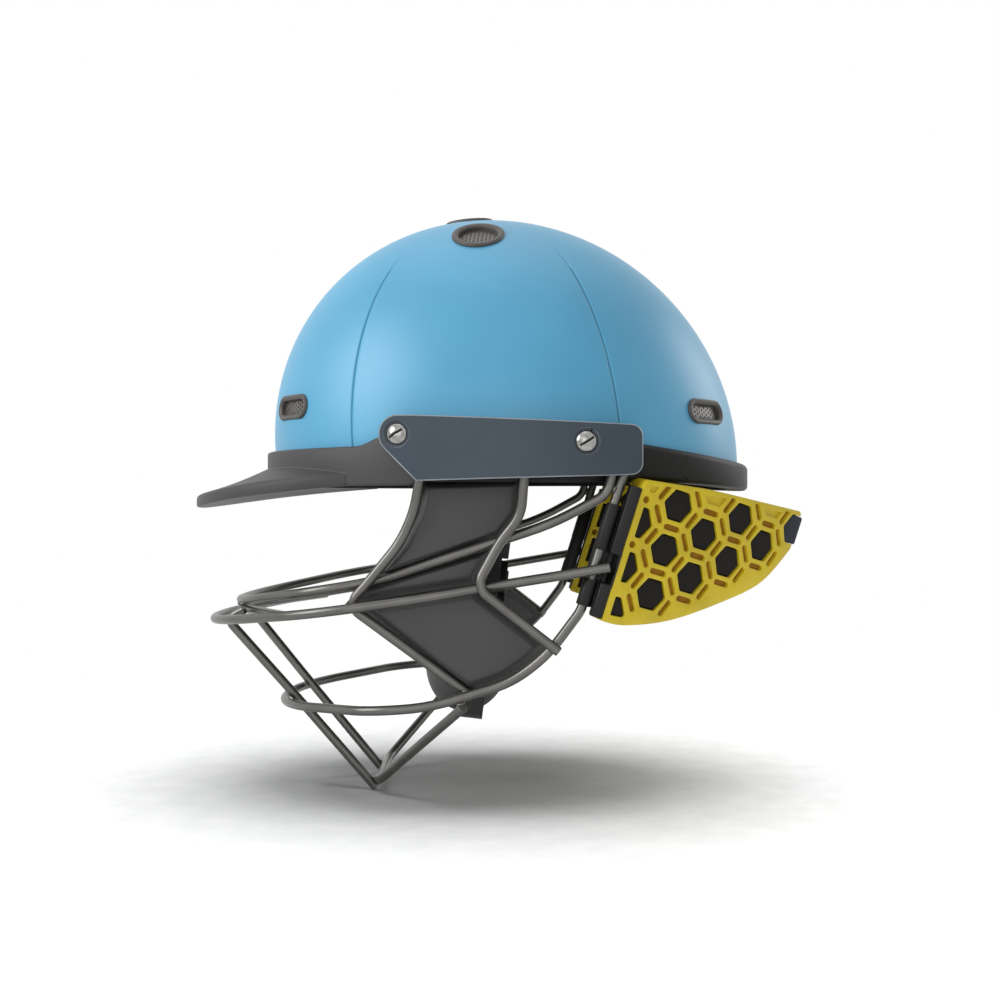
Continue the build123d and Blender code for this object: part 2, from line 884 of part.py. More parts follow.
def build_vents(planes):
    skin = dome(vent_proud) - dome(seat_gap / 3)
    sleeve = dome(seat_gap) - dome(-shell_wall)
    for name, frames in planes.items():
        rings, nets = [], []
        for frame in frames:
            bore = vent_bore(name)
            flange = skin & (vent_prism(name, frame, 0) - vent_prism(name, frame, bore))
            collar_ring = vent_prism(name, frame, bore - vent_collar_wall) - vent_prism(name, frame, bore)
            rings.append(largest(flange + (sleeve & collar_ring)))
            nets.append(vent_net(name, frame, bore + vent_hole_gap))
        save(name + "_vent_frames", joined(rings))
        save(name + "_vent_nets", joined(nets))


def build_shell(planes):
    shell = dome(0) - dome(-shell_wall)
    reach = shell_half_length * 2
    shell = shell - block((-reach, -reach, -reach), (reach, reach, rim_height))
    shell = vent_cut(shell, planes, vent_collar_wall + vent_hole_gap)
    shell = screw_hole_cut(shell, screw_shank / 2 + screw_clearance)
    shell = mirrored(screw_hole_cut(mirrored(shell), screw_shank / 2 + screw_clearance))
    for sign in (-1, 1):
        rod = Rot(90, 0, 0) * Cylinder(pivot_shaft / 2 + pivot_gap, over * 2)
        shell = shell - Pos(strap_pivot[0], sign * shell_half_width, strap_pivot[1]) * rod
    save("outer_shell", largest(shell))


def build_lining(planes):
    outer_grow = -shell_wall - seat_gap
    inner_grow = outer_grow - liner_wall
    liner = dome(outer_grow) - dome(inner_grow)
    reach = shell_half_length * 2
    floor_height = rim_height + liner_edge
    liner = liner - block((-reach, -reach, -reach), (reach, reach, floor_height))
    liner = vent_cut(liner, planes, 0)
    liner = nut_pocket_cut(liner)
    for sign in (-1, 1):
        depth = shell_half_width - pivot_side + hanger_wall + pivot_head_wall * 3
        middle = sign * (shell_half_width - depth / 2 + seat_gap)
        width = hanger_width * hanger_pocket_share
        height = (strap_pivot[1] + hanger_width) - floor_height
        pocket = Pos(strap_pivot[0], middle, floor_height) * Box(width, depth, height * 2)
        liner = liner - pocket
    save("foam_liner", largest(liner))

    layer = dome(inner_grow - seat_gap) - dome(inner_grow - seat_gap - pad_wall)
    low = floor_height + seat_gap
    side_low = strap_pivot[1] + pad_wall
    side_high = side_low + side_pad_height
    half_front = front_pad_width / 2
    half_rear = rear_pad_width / 2
    half_side = side_pad_length / 2
    front_high = low + front_pad_height
    rear_high = low + rear_pad_height
    regions = {
        "front_comfort_pad": block((-reach, -half_front, low), (-pad_reach, half_front, front_high)),
        "rear_comfort_pad": block((pad_reach, -half_rear, low), (reach, half_rear, rear_high)),
        "side_comfort_pad_left": block((-half_side, -reach, side_low), (half_side, 0, side_high)),
        "side_comfort_pad_right": block((-half_side, 0, side_low), (half_side, reach, side_high)),
    }
    crown = Pos(0, 0, shell_half_height) * Cylinder(crown_pad_radius, shell_half_height)
    regions["crown_comfort_pad"] = crown
    for name, region in regions.items():
        save(name, largest(layer & region))


def rim_ring(grow_length, grow_side, low, high):
    # Ring that wraps the shell's lower edge, hollow where the shell stands in it.
    ring = oval_prism(grow_length, grow_side, low, high)
    ring = ring - oval_prism(-band_lip, -band_lip, low - over, high + over)
    reach = shell_half_length * 2
    inside = dome(seat_gap) - block((-reach, -reach, -reach), (reach, reach, rim_height - seat_gap))
    return ring - inside


def build_peak():
    ring = rim_ring(band_proud, band_side_proud, brim_tip_height - over, band_side_top + over)
    far = brim_reach + over
    outline = [
        (-far, band_bottom),
        (-band_notch, band_bottom + band_notch_rise),
        (-band_notch, trim_side_bottom),
        (-join_gap / 2, trim_side_bottom),
        (-join_gap / 2, band_side_top),
        (-band_step_rear, band_side_top),
        (-band_step_front, band_front_top + band_step_rise),
        (-far, band_front_top),
    ]
    band = ring & side_prism(outline, -far, far)
    brim = build_brim()
    peak = largest(band + brim)
    for place, height in screw_places[:1]:
        hole = screw_rod(place, height, washer_outer / 2 + seat_gap, -over, over / 2)
        peak = peak - hole - mirrored(hole)
    save("peak", largest(peak))


def build_brim():
    tip = brim_reach
    bottom_end = band_bottom
    outline = [
        (-brim_end, bottom_end),
        (-brim_end, brim_crest_height),
        (-shell_half_length, brim_crest_height),
        (-tip, brim_tip_height + brim_edge_rise),
        (-tip, brim_tip_height - brim_tip_wall),
    ]
    slab = side_prism(outline, -over * 4, over * 4)
    side = dome_side(-brim_end, rim_height, band_side_proud)
    corner = tip - brim_corner
    full = side * brim_side_share
    plan = Polyline((-brim_end, -side), (-brim_end, side))
    plan += Bezier((-brim_end, side), (-corner, side), (-tip, full), (-tip, 0))
    plan += Bezier((-tip, 0), (-tip, -full), (-corner, -side), (-brim_end, -side))
    column = Pos(0, 0, -over) * extrude(make_face(plan), over * 3)
    slope = math.degrees(math.atan2(brim_crest_height - brim_tip_height, tip - shell_half_length))
    crown = Rot(0, 90, 0) * Cylinder(brim_crown_radius, over * 10)
    crown = Rot(0, -slope * brim_crown_lean_share, 0) * (Pos(0, 0, -brim_crown_radius) * crown)
    crown = Pos(-shell_half_length, 0, brim_crest_height) * crown
    inner = oval_prism(seat_gap, seat_gap, -over, over * 2)
    return largest((slab & column & crown) - inner)


def build_trim():
    ring = rim_ring(trim_proud, band_side_proud, -over, band_side_top + over)
    far = shell_half_length + over
    fall = (trim_side_bottom - trim_rear_bottom) / (shell_half_length - trim_side_place)
    top_fall = (trim_side_top - trim_rear_top) / (shell_half_length - plate_rear)
    outline = [
        (join_gap / 2, trim_side_bottom),
        (trim_side_place, trim_side_bottom),
        (far, trim_side_bottom - fall * (far - trim_side_place)),
        (far, trim_side_top - top_fall * (far - plate_rear)),
        (plate_rear, trim_side_top),
        (join_gap / 2, trim_side_top + trim_front_rise),
    ]
    trim = ring & side_prism(outline, -far, far)
    for place, height in screw_places[1:]:
        hole = screw_rod(place, height, washer_outer / 2 + seat_gap, -over, over / 2)
        trim = trim - hole - mirrored(hole)
    for path in (upper_path, lower_path):
        trim = trim - bar_solid(path, bar_radius + seat_gap)
    save("rear_rim_trim", largest(trim))


# Neck guard, built in the frame of its hinge line.
def guard_turn(distance):
    return math.radians(guard_start_turn) + distance / guard_bow_radius


def guard_centre():
    turn = math.radians(guard_start_turn)
    x = guard_start - guard_bow_radius * math.sin(turn)
    y = guard_outer + guard_bow_radius * math.cos(turn)
    return (x, y)


def guard_plan_ring(outer_trim, inner_trim):
    x, y = guard_centre()
    outer = Cylinder(guard_bow_radius - outer_trim, over * 4)
    inner = Cylinder(guard_bow_radius - guard_wall + inner_trim, over * 4)
    return Pos(x, y, 0) * (outer - inner)


def guard_outline(inset):
    front_low = (guard_start, guard_low)
    front_high = (guard_start, guard_high)
    top = Polyline(front_low, front_high, guard_mid, guard_tip, guard_tip_low)
    rear = ThreePointArc(guard_tip_low, guard_belly_rear, guard_belly)
    front = ThreePointArc(guard_belly, guard_belly_front, front_low)
    face = make_face(top + rear + front)
    if inset:
        face = offset(face, -inset, kind=Kind.INTERSECTION)
    return face


def guard_column(face):
    return Pos(0, over * 2, 0) * extrude(Plane.XZ * face, over * 3)


def cell_spot(column, row):
    distance = cell_start + column * cell_pitch * math.sqrt(3) / 2
    height = cell_base + cell_climb * column - row * cell_pitch
    if column % 2 == 0:
        height -= cell_pitch / 2
    return distance, height


def cell_frame(column, row):
    return wall_frame(*cell_spot(column, row))


def wall_frame(distance, height):
    # Frame on the middle of the guard's wall, with its Z axis pointing outwards.
    turn = guard_turn(distance)
    x, y = guard_centre()
    radius = guard_bow_radius - guard_wall / 2
    spot = (x + radius * math.sin(turn), y - radius * math.cos(turn), height)
    along = (math.cos(turn), math.sin(turn), 0)
    out = (math.sin(turn), -math.cos(turn), 0)
    return Plane(origin=spot, x_dir=along, z_dir=out)


def cell_prism(frame, window, wall):
    outline = RegularPolygon(window / math.sqrt(3), 6)
    return frame * (Pos(0, 0, -wall / 2) * extrude(outline, wall))


def guard_cells():
    return [cell_frame(column, row) for column, rows in enumerate(cell_rows) for row in range(rows)]


def blind_cuts(frame, outline, limit):
    # Shallow recesses on both faces of the guard's wall, where enough of one stands inside the limit.
    cuts = []
    for side in (1, -1):
        solid = extrude(outline, slot_depth * 2)
        least = solid.volume * slot_least_share
        kept = limit & (frame * (Pos(0, 0, side * guard_wall / 2 - slot_depth) * solid))
        if kept and sum(piece.volume for piece in kept.solids()) > least:
            cuts.append(largest(kept))
    return cuts


def rib_cuts():
    # A slot along each rib between two cells, and a round recess where a rib meets the front edge.
    limit = guard_column(guard_outline(slot_border))
    slot = SlotOverall(slot_length, slot_width)
    step = cell_pitch * math.sqrt(3) / 2
    ribs = {}
    for column, rows in enumerate(cell_rows):
        for row in range(rows):
            distance, height = cell_spot(column, row)
            for across in (-1, 0, 1):
                for rise in (-1, 1):
                    gap = Vector(across * step, across * cell_climb + rise * cell_pitch / (1 + abs(across)))
                    spot = (round(distance + gap.X / 2, 3), round(height + gap.Y / 2, 3))
                    ribs[spot] = math.degrees(math.atan2(gap.Y, gap.X))
    cuts = []
    for (distance, height), turn in ribs.items():
        if distance < cell_start + seat_gap and height > node_recess_low:
            cuts += blind_cuts(wall_frame(node_recess_start, height), Circle(node_recess / 2), limit)
        else:
            cuts += blind_cuts(wall_frame(distance, height), Rot(0, 0, turn + 90) * slot, limit)
    return cuts


def pocket_cuts():
    # Blind part cells above the top row.
    limit = guard_column(guard_outline(guard_border + pocket_inset))
    outline = RegularPolygon(cell_window / math.sqrt(3) - pocket_inset, 6)
    cuts = []
    for column in range(len(cell_rows)):
        cuts += blind_cuts(cell_frame(column, -1), outline, limit)
    return cuts


def build_neck_guard():
    blank = guard_plan_ring(0, 0) & guard_column(guard_outline(0))
    inner_column = guard_column(guard_outline(guard_border))
    plug_column = guard_column(guard_outline(guard_border + foam_gap))
    plug_window = cell_window - 2 * foam_gap
    plug_wall = guard_wall - 2 * foam_recess
    holes = []
    plugs = []
    cells = guard_cells()
    for frame in cells[:-1]:
        holes.append(largest(cell_prism(frame, cell_window, over) & inner_column))
        plugs.append(largest(cell_prism(frame, plug_window, plug_wall) & plug_column))
    top = guard_tip[1] - guard_border
    tip_hole = cell_prism(cells[-1], cell_window, over)
    tip_hole = tip_hole & block((0, -over, -over), (over * 4, over * 3, top + foam_gap))
    tip_plug = cell_prism(cells[-1], plug_window, plug_wall)
    tip_plug = tip_plug & block((0, -over, -over), (guard_tip[0] + foam_tip_proud, over * 3, top))
    plugs.append(largest(tip_plug))
    honeycomb = blank
    for cut in holes + [tip_hole] + rib_cuts() + pocket_cuts():
        honeycomb = honeycomb - cut
    save_pair("neck_guard_honeycomb", largest(honeycomb))
    save_pair("neck_guard_foam", joined(plugs))
    save_pair("neck_guard_rail", neck_rail())
    save_pair("neck_guard_clip", neck_clip())


def save_pair(name, local):
    near = hinge_plane * local
    save(name + "_left", near)
    save(name + "_right", mirrored(near))


def neck_rail():
    rail = block((rail_near, rail_outer, rail_low), (rail_far, rail_inner, rail_high))
    rail = chamfer(rail.edges().filter_by(Axis.Z), plate_edge_break)
    window = block((0, -over, clip_window_low), (over, rail_window_inner, clip_window_high))
    return rail - window


def neck_clip():
    # Split sleeve in two lengths that snaps on the upright, on a web that reaches the rail.
    outer = bar_radius + clip_bore_gap + clip_wall
    height = clip_high - clip_low
    middle = (clip_high + clip_low) / 2
    sleeve = Pos(0, 0, middle) * Cylinder(outer, height)
    web_rear = rail_near - seat_gap / 2
    web = block((0, rail_window_inner, clip_low), (web_rear, rail_window_inner + clip_wall, clip_high))
    solid = sleeve + web
    solid = solid - Pos(0, 0, middle) * Cylinder(bar_radius + clip_bore_gap, height * 2)
    mouth = block((-outer * 2, -clip_mouth / 2, clip_low * 2), (0, clip_mouth / 2, clip_high * 2))
    window_inner = rail_window_inner - clip_wall
    window = block((-outer * 2, -over, clip_window_low), (outer * 2, window_inner, clip_window_high))
    return largest(solid - mouth - window)


# Chin strap, built upright below its pivot and then tilted forward.
def strap_place(local):
    return Pos(strap_pivot[0], 0, strap_pivot[1]) * (Rot(0, strap_tilt, 0) * local)


def strap_line():
    # Near half of the strap's route, as distances from the middle plane and falls below the pivot.
    start = (-(pivot_side - hanger_wall / 2), -(hanger_drop + strap_ply))
    turn = (-strap_turn_side, -strap_turn_fall)
    return start, turn


def webbing(points, bend):
    # Flat strap along a route in the Y and Z plane.
    corners = [Vector(0, y, z) for y, z in points]
    if len(corners) > 2:
        path = FilletPolyline(*corners, radius=[bend] * (len(corners) - 2))
    else:
        path = Line(*corners)
    section = Plane(origin=path @ 0, x_dir=(1, 0, 0), z_dir=path % 0) * Rectangle(strap_width, strap_wall)
    return sweep(section, path=path)


def run_point(share):
    start, turn = strap_line()
    return (start[0] + share * (turn[0] - start[0]), start[1] + share * (turn[1] - start[1]))


def run_frame(share):
    # Frame on the far side run of the strap, with its Z axis running down the strap.
    start, turn = strap_line()
    y, z = run_point(share)
    way = Vector(0, -(turn[0] - start[0]), turn[1] - start[1]).normalized()
    return Plane(origin=(0, -y, z), x_dir=(1, 0, 0), z_dir=way)


def run_length():
    start, turn = strap_line()
    return math.hypot(turn[0] - start[0], turn[1] - start[1])


def build_strap():
    start, turn = strap_line()
    bottom_side = strap_turn_side * strap_base_share
    low = -strap_fall - strap_wall / 2
    left_run = [start, turn, (-bottom_side, low), (bottom_side, low), (-turn[0], turn[1])]
    socket_end = buckle_start_share
    plug_start = socket_end + (buckle_socket_length + buckle_plug_length + seat_gap) / run_length()
    far_start = run_point(plug_start)
    left_run.append((-far_start[0], far_start[1]))
    near_web = webbing(drop_straight(left_run), strap_turn_side * strap_bend_share)
    far_end = run_point(socket_end)
    far_web = webbing([(-far_end[0], far_end[1]), (-start[0], start[1])], strap_turn_side)
    save("strap_webbing_left", strap_place(near_web + strap_loop()))
    save("strap_webbing_right", strap_place(far_web + mirrored(strap_loop())))
    save("chin_cup", strap_place(chin_cup()))
    save("strap_hangers", strap_place(joined([strap_hanger(), mirrored(strap_hanger())])))
    save("strap_pivots", joined([strap_rivet(), mirrored(strap_rivet())]))
    build_buckle()
    slides = [strap_slide(slide_share), mirrored(strap_slide(slide_share))]
    save("strap_slides", strap_place(joined(slides)))


def drop_straight(points):
    # Leave out a point that lies in line with its neighbours.
    kept = [points[0]]
    for i in range(1, len(points) - 1):
        a = Vector(*points[i]) - Vector(*kept[-1])
        b = Vector(*points[i + 1]) - Vector(*points[i])
        if a.get_angle(b) > straight_limit:
            kept.append(points[i])
    return kept + [points[-1]]


def cup_ball(wall, height):
    # Filled bowl, wall smaller all round.
    rows = [
        [cup_length / 2 - wall, 0, 0, -cup_shift],
        [0, cup_half_width - wall, 0, 0],
        [0, 0, cup_half_height - wall, height],
    ]
    return Solid.make_sphere(unit).transform_geometry(Matrix(rows))


def chin_cup():
    # Soft bowl that sits on the strap.
    low = -strap_fall + seat_gap
    centre = low + cup_half_height
    bowl = cup_ball(0, centre) - cup_ball(cup_wall, centre)
    lid = block((-over * 2, -over * 2, low + cup_depth), (over * 2, over * 2, over * 2))
    flat = block((-over * 2, -over * 2, low - over), (over * 2, over * 2, low + cup_flat))
    return largest(bowl - lid - flat)


def strap_loop():
    # Sewn loop of the strap round the hanger's lower bar.
    middle = -(hanger_drop - hanger_bar / 2)
    depth = hanger_wall + 2 * seat_gap
    height = hanger_bar + 2 * seat_gap
    outer = Box(strap_width, depth + 2 * strap_ply, height + 2 * strap_ply)
    inner = Box(strap_width * 2, depth, height)
    return Pos(0, -(pivot_side - hanger_wall / 2), middle) * (outer - inner)


def strap_hanger():
    # Plate on the pivot, with a window that holds the strap's end.
    half = hanger_width / 2
    foot = hanger_foot_width / 2
    inner = -(pivot_side - hanger_wall)
    eye = Rot(90, 0, 0) * Cylinder(half, hanger_wall)
    eye = Pos(0, inner - hanger_wall / 2, 0) * eye
    leg = block((-half, -pivot_side, -hanger_drop), (half, inner, 0))
    foot_top = -hanger_drop + hanger_foot_height
    leg = leg + block((-foot, -pivot_side, -hanger_drop), (foot, inner, foot_top))
    window_low = -hanger_drop + hanger_bar
    window_half = strap_width / 2 + seat_gap
    window = block((-window_half, -over * 3, window_low), (window_half, 0, window_low + hanger_window))
    bore = Rot(90, 0, 0) * Cylinder(pivot_shaft / 2 + pivot_gap, over * 6)
    return (eye + leg) - bore - window


def strap_rivet():
    # Headed pin through the shell that the hanger turns on.
    outer = dome_side(strap_pivot[0], strap_pivot[1], 0) - seat_gap
    inner = pivot_side - hanger_wall - seat_gap
    shaft = Rot(90, 0, 0) * Cylinder(pivot_shaft / 2, outer - inner)
    shaft = Pos(0, -(outer + inner) / 2, 0) * shaft
    head = Rot(90, 0, 0) * Cylinder(pivot_head / 2, pivot_head_wall)
    head = Pos(0, -inner + pivot_head_wall / 2, 0) * head
    return Pos(strap_pivot[0], 0, strap_pivot[1]) * (shaft + head)


def strap_slide(share):
    # Adjusting slide: a frame round the strap with a middle bar in front of it.
    frame = run_frame(share)
    outer = Box(strap_width + 4 * slide_wall, strap_wall + 2 * slide_wall + seat_gap, slide_length)
    inner = Box(strap_width + seat_gap, strap_wall + seat_gap, slide_length * 2)
    return mirrored(frame * (outer - inner))


def build_buckle():
    # Socket with side windows, plug with a tongue, and two prongs that are squeezed to release it.
    length = buckle_socket_length
    frame = run_frame(buckle_start_share)
    socket = Pos(0, 0, length / 2) * Box(buckle_width, buckle_height, length)
    inner_width = buckle_width - 2 * buckle_wall
    inner_height = buckle_height - 2 * buckle_wall
    cavity = Pos(0, 0, length / 2 + buckle_wall * 2) * Box(inner_width, inner_height, length)
    low = buckle_wall * 3
    high = low + prong_length + 2 * prong_gap
    half_width = buckle_width / 2
    half_height = inner_height / 2
    window = block((-buckle_width, -half_height, low), (buckle_width, half_height, high))
    save("buckle_socket", strap_place(frame * (socket - cavity - window)))

    plug = Box(buckle_width, buckle_height, buckle_plug_length)
    plug = Pos(0, 0, length + buckle_plug_length / 2 + seat_gap) * plug
    reach = length + buckle_plug_length
    half_tongue = inner_width / 2 - prong_wall - prong_travel - prong_gap * 2
    half_height = half_height - seat_gap
    tongue = block((-half_tongue, -half_height, low), (half_tongue, half_height, reach))
    web_slot = Box(strap_width + seat_gap, strap_wall + seat_gap, buckle_plug_length)
    plug = largest(plug + tongue - Pos(0, 0, reach + seat_gap) * web_slot)
    save("buckle_plug", strap_place(frame * plug))

    outer = half_width + prong_travel / 2
    inner = outer - prong_wall
    prong_low = low + prong_gap
    prong_high = prong_low + prong_length
    front = block((-outer, -half_height, prong_low), (-inner, half_height, prong_high))
    rear = block((inner, -half_height, prong_low), (outer, half_height, prong_high))
    save("buckle_prong_front", strap_place(frame * front))
    save("buckle_prong_rear", strap_place(frame * rear))


os.makedirs("parts", exist_ok=True)
planes = vent_frames()
build_shell(planes)
build_lining(planes)
build_vents(planes)
build_peak()
build_trim()
build_plates()
build_guard()
build_panels()
build_neck_guard()
build_strap()
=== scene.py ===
import bpy
import bmesh
import math
from mathutils import Matrix, Vector, noise
from mathutils.bvhtree import BVHTree
from mathutils.geometry import delaunay_2d_cdt


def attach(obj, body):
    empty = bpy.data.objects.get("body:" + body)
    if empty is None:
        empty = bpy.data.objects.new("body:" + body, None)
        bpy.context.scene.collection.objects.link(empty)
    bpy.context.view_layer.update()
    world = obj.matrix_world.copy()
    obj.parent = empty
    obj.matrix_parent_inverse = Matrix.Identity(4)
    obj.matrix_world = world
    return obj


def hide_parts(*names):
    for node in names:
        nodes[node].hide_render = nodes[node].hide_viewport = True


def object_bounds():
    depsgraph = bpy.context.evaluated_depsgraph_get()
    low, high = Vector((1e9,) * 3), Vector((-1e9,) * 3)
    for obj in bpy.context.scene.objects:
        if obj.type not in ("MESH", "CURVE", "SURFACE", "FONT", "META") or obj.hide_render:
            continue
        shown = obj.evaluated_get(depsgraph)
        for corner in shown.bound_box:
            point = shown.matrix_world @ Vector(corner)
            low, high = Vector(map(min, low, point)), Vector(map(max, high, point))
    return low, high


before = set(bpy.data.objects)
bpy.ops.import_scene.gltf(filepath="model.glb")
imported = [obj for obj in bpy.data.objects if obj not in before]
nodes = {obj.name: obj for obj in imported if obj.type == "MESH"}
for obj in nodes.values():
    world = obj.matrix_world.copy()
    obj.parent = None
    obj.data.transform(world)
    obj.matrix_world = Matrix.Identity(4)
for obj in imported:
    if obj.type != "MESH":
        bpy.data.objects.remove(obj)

# Cricket helmet on a pale studio floor. Lengths in the tables are millimetres.
cadBox = [list(corner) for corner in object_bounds()]
mm = 0.001
scene = bpy.context.scene
print("frame loaded:", len(nodes), "nodes")


# Colours and node helpers
def linear(hexColour):
    channels = [int(hexColour[i:i + 2], 16) / 255 for i in (1, 3, 5)]
    return [c / 12.92 if c <= 0.04045 else ((c + 0.055) / 1.055) ** 2.4 for c in channels] + [1.0]


def addNode(tree, kind, inputs=None, **settings):
    node = tree.nodes.new(kind)
    for key, value in settings.items():
        setattr(node, key, value)
    for key, value in (inputs or {}).items():
        socket = node.inputs[key]
        if isinstance(value, bpy.types.NodeSocket):
            tree.links.new(value, socket)
        else:
            socket.default_value = value
    return node


def ramp(tree, factor, stops):
    node = addNode(tree, "ShaderNodeValToRGB", {"Fac": factor})
    elements = node.color_ramp.elements
    while len(elements) < len(stops):
        elements.new(0.5)
    for element, (place, colour) in zip(elements, stops):
        element.position = place
        element.color = colour
    return node.outputs["Color"]


def grey(value):
    return (value, value, value, 1.0)


def startMaterial(name):
    material = bpy.data.materials.new(name)
    material.use_nodes = True
    tree = material.node_tree
    tree.nodes.clear()
    coords = addNode(tree, "ShaderNodeTexCoord").outputs["Object"]
    output = addNode(tree, "ShaderNodeOutputMaterial")
    return material, tree, coords, output


def addMath(tree, operation, *values, clamp=False):
    # One Math node on numbers or sockets.
    node = addNode(tree, "ShaderNodeMath", dict(enumerate(values)), operation=operation, use_clamp=clamp)
    return node.outputs[0]


weaveLook = {"slope": 0.55, "share": 0.45}


def weaveHeight(tree, coords, rib, yarn):
    # Ribs across the cloth and yarns along it, as a height from about -1 to 1.
    place = addNode(tree, "ShaderNodeSeparateXYZ", {0: coords}).outputs
    side = addMath(tree, "ABSOLUTE", place["Y"])
    fall = addMath(tree, "MULTIPLY_ADD", side, weaveLook["slope"], place["Z"])
    ribs, yarns = (addMath(tree, "SINE", addMath(tree, "MULTIPLY", value, 2 * math.pi / (pitch * mm)))
                   for value, pitch in ((fall, rib), (place["X"], yarn)))
    return addMath(tree, "MULTIPLY_ADD", ribs, yarns, ribs)


# What a finish has unless its own lines say otherwise
plainLook = {
    "edge": 0.3, "wear": 0.25, "metallic": 0.0, "specular": 0.5, "coat": 0.0, "coatRoughness": 0.2,
    "sheen": 0.0, "sheenRoughness": 0.5, "patches": (0.32, 0.68), "roughPatches": (0.3, 0.7),
    "corner": (0.80, 0.985)}


# One surface finish: a base colour that drifts between two tones, a fine moulded grain, softened edges, and edges
# painted paler, partly as wear and partly as a painted highlight.
def makeFinish(name, look):
    look = {**plainLook, "edgeTone": look["tones"][1], **look}
    material, tree, coords, output = startMaterial(name)
    grainSize, grainDepth = look["grain"]
    drift, grain = (
        addNode(tree, "ShaderNodeTexNoise", {
            "Vector": coords, "Scale": 1 / (size * mm), "Detail": detail}).outputs["Fac"]
        for size, detail in ((look["drift"], 4.0), (grainSize, 3.0)))
    tone = ramp(tree, drift, [(place, linear(colour)) for place, colour in zip(look["patches"], look["tones"])])
    rough = addNode(tree, "ShaderNodeMapRange", {
        "Value": drift, "From Min": look["roughPatches"][0], "From Max": look["roughPatches"][1],
        "To Min": look["roughness"][0], "To Max": look["roughness"][1]})
    softened = addNode(tree, "ShaderNodeBevel", {"Radius": look["edge"] * mm}, samples=6).outputs["Normal"]
    flat = addNode(tree, "ShaderNodeNewGeometry").outputs["Normal"]
    edge = addNode(tree, "ShaderNodeVectorMath", {0: softened, 1: flat}, operation="DOT_PRODUCT")
    # Edges take a paler tone: partly wear, partly a painted highlight.
    wornAndLitEdge = ramp(tree, edge.outputs["Value"], list(zip(look["corner"], (grey(look["wear"]), grey(0.0)))))
    colour = addNode(tree, "ShaderNodeMix", {"Factor": wornAndLitEdge, 6: tone, 7: linear(look["edgeTone"])},
                     data_type="RGBA").outputs[2]
    height = grain
    if "weave" in look:
        weave = weaveHeight(tree, coords, *look["weave"])
        height = addMath(tree, "MULTIPLY_ADD", weave, weaveLook["share"], grain)
    bump = addNode(tree, "ShaderNodeBump", {
        "Height": height, "Distance": grainDepth * mm, "Strength": 1.0, "Normal": softened})
    shader = addNode(tree, "ShaderNodeBsdfPrincipled", {
        "Base Color": colour, "Roughness": rough.outputs["Result"], "Metallic": look["metallic"],
        "Normal": bump.outputs["Normal"], "Specular IOR Level": look["specular"],
        "Coat Weight": look["coat"], "Coat Roughness": look["coatRoughness"],
        "Sheen Weight": look["sheen"], "Sheen Roughness": look["sheenRoughness"]})
    tree.links.new(shader.outputs["BSDF"], output.inputs["Surface"])
    return material


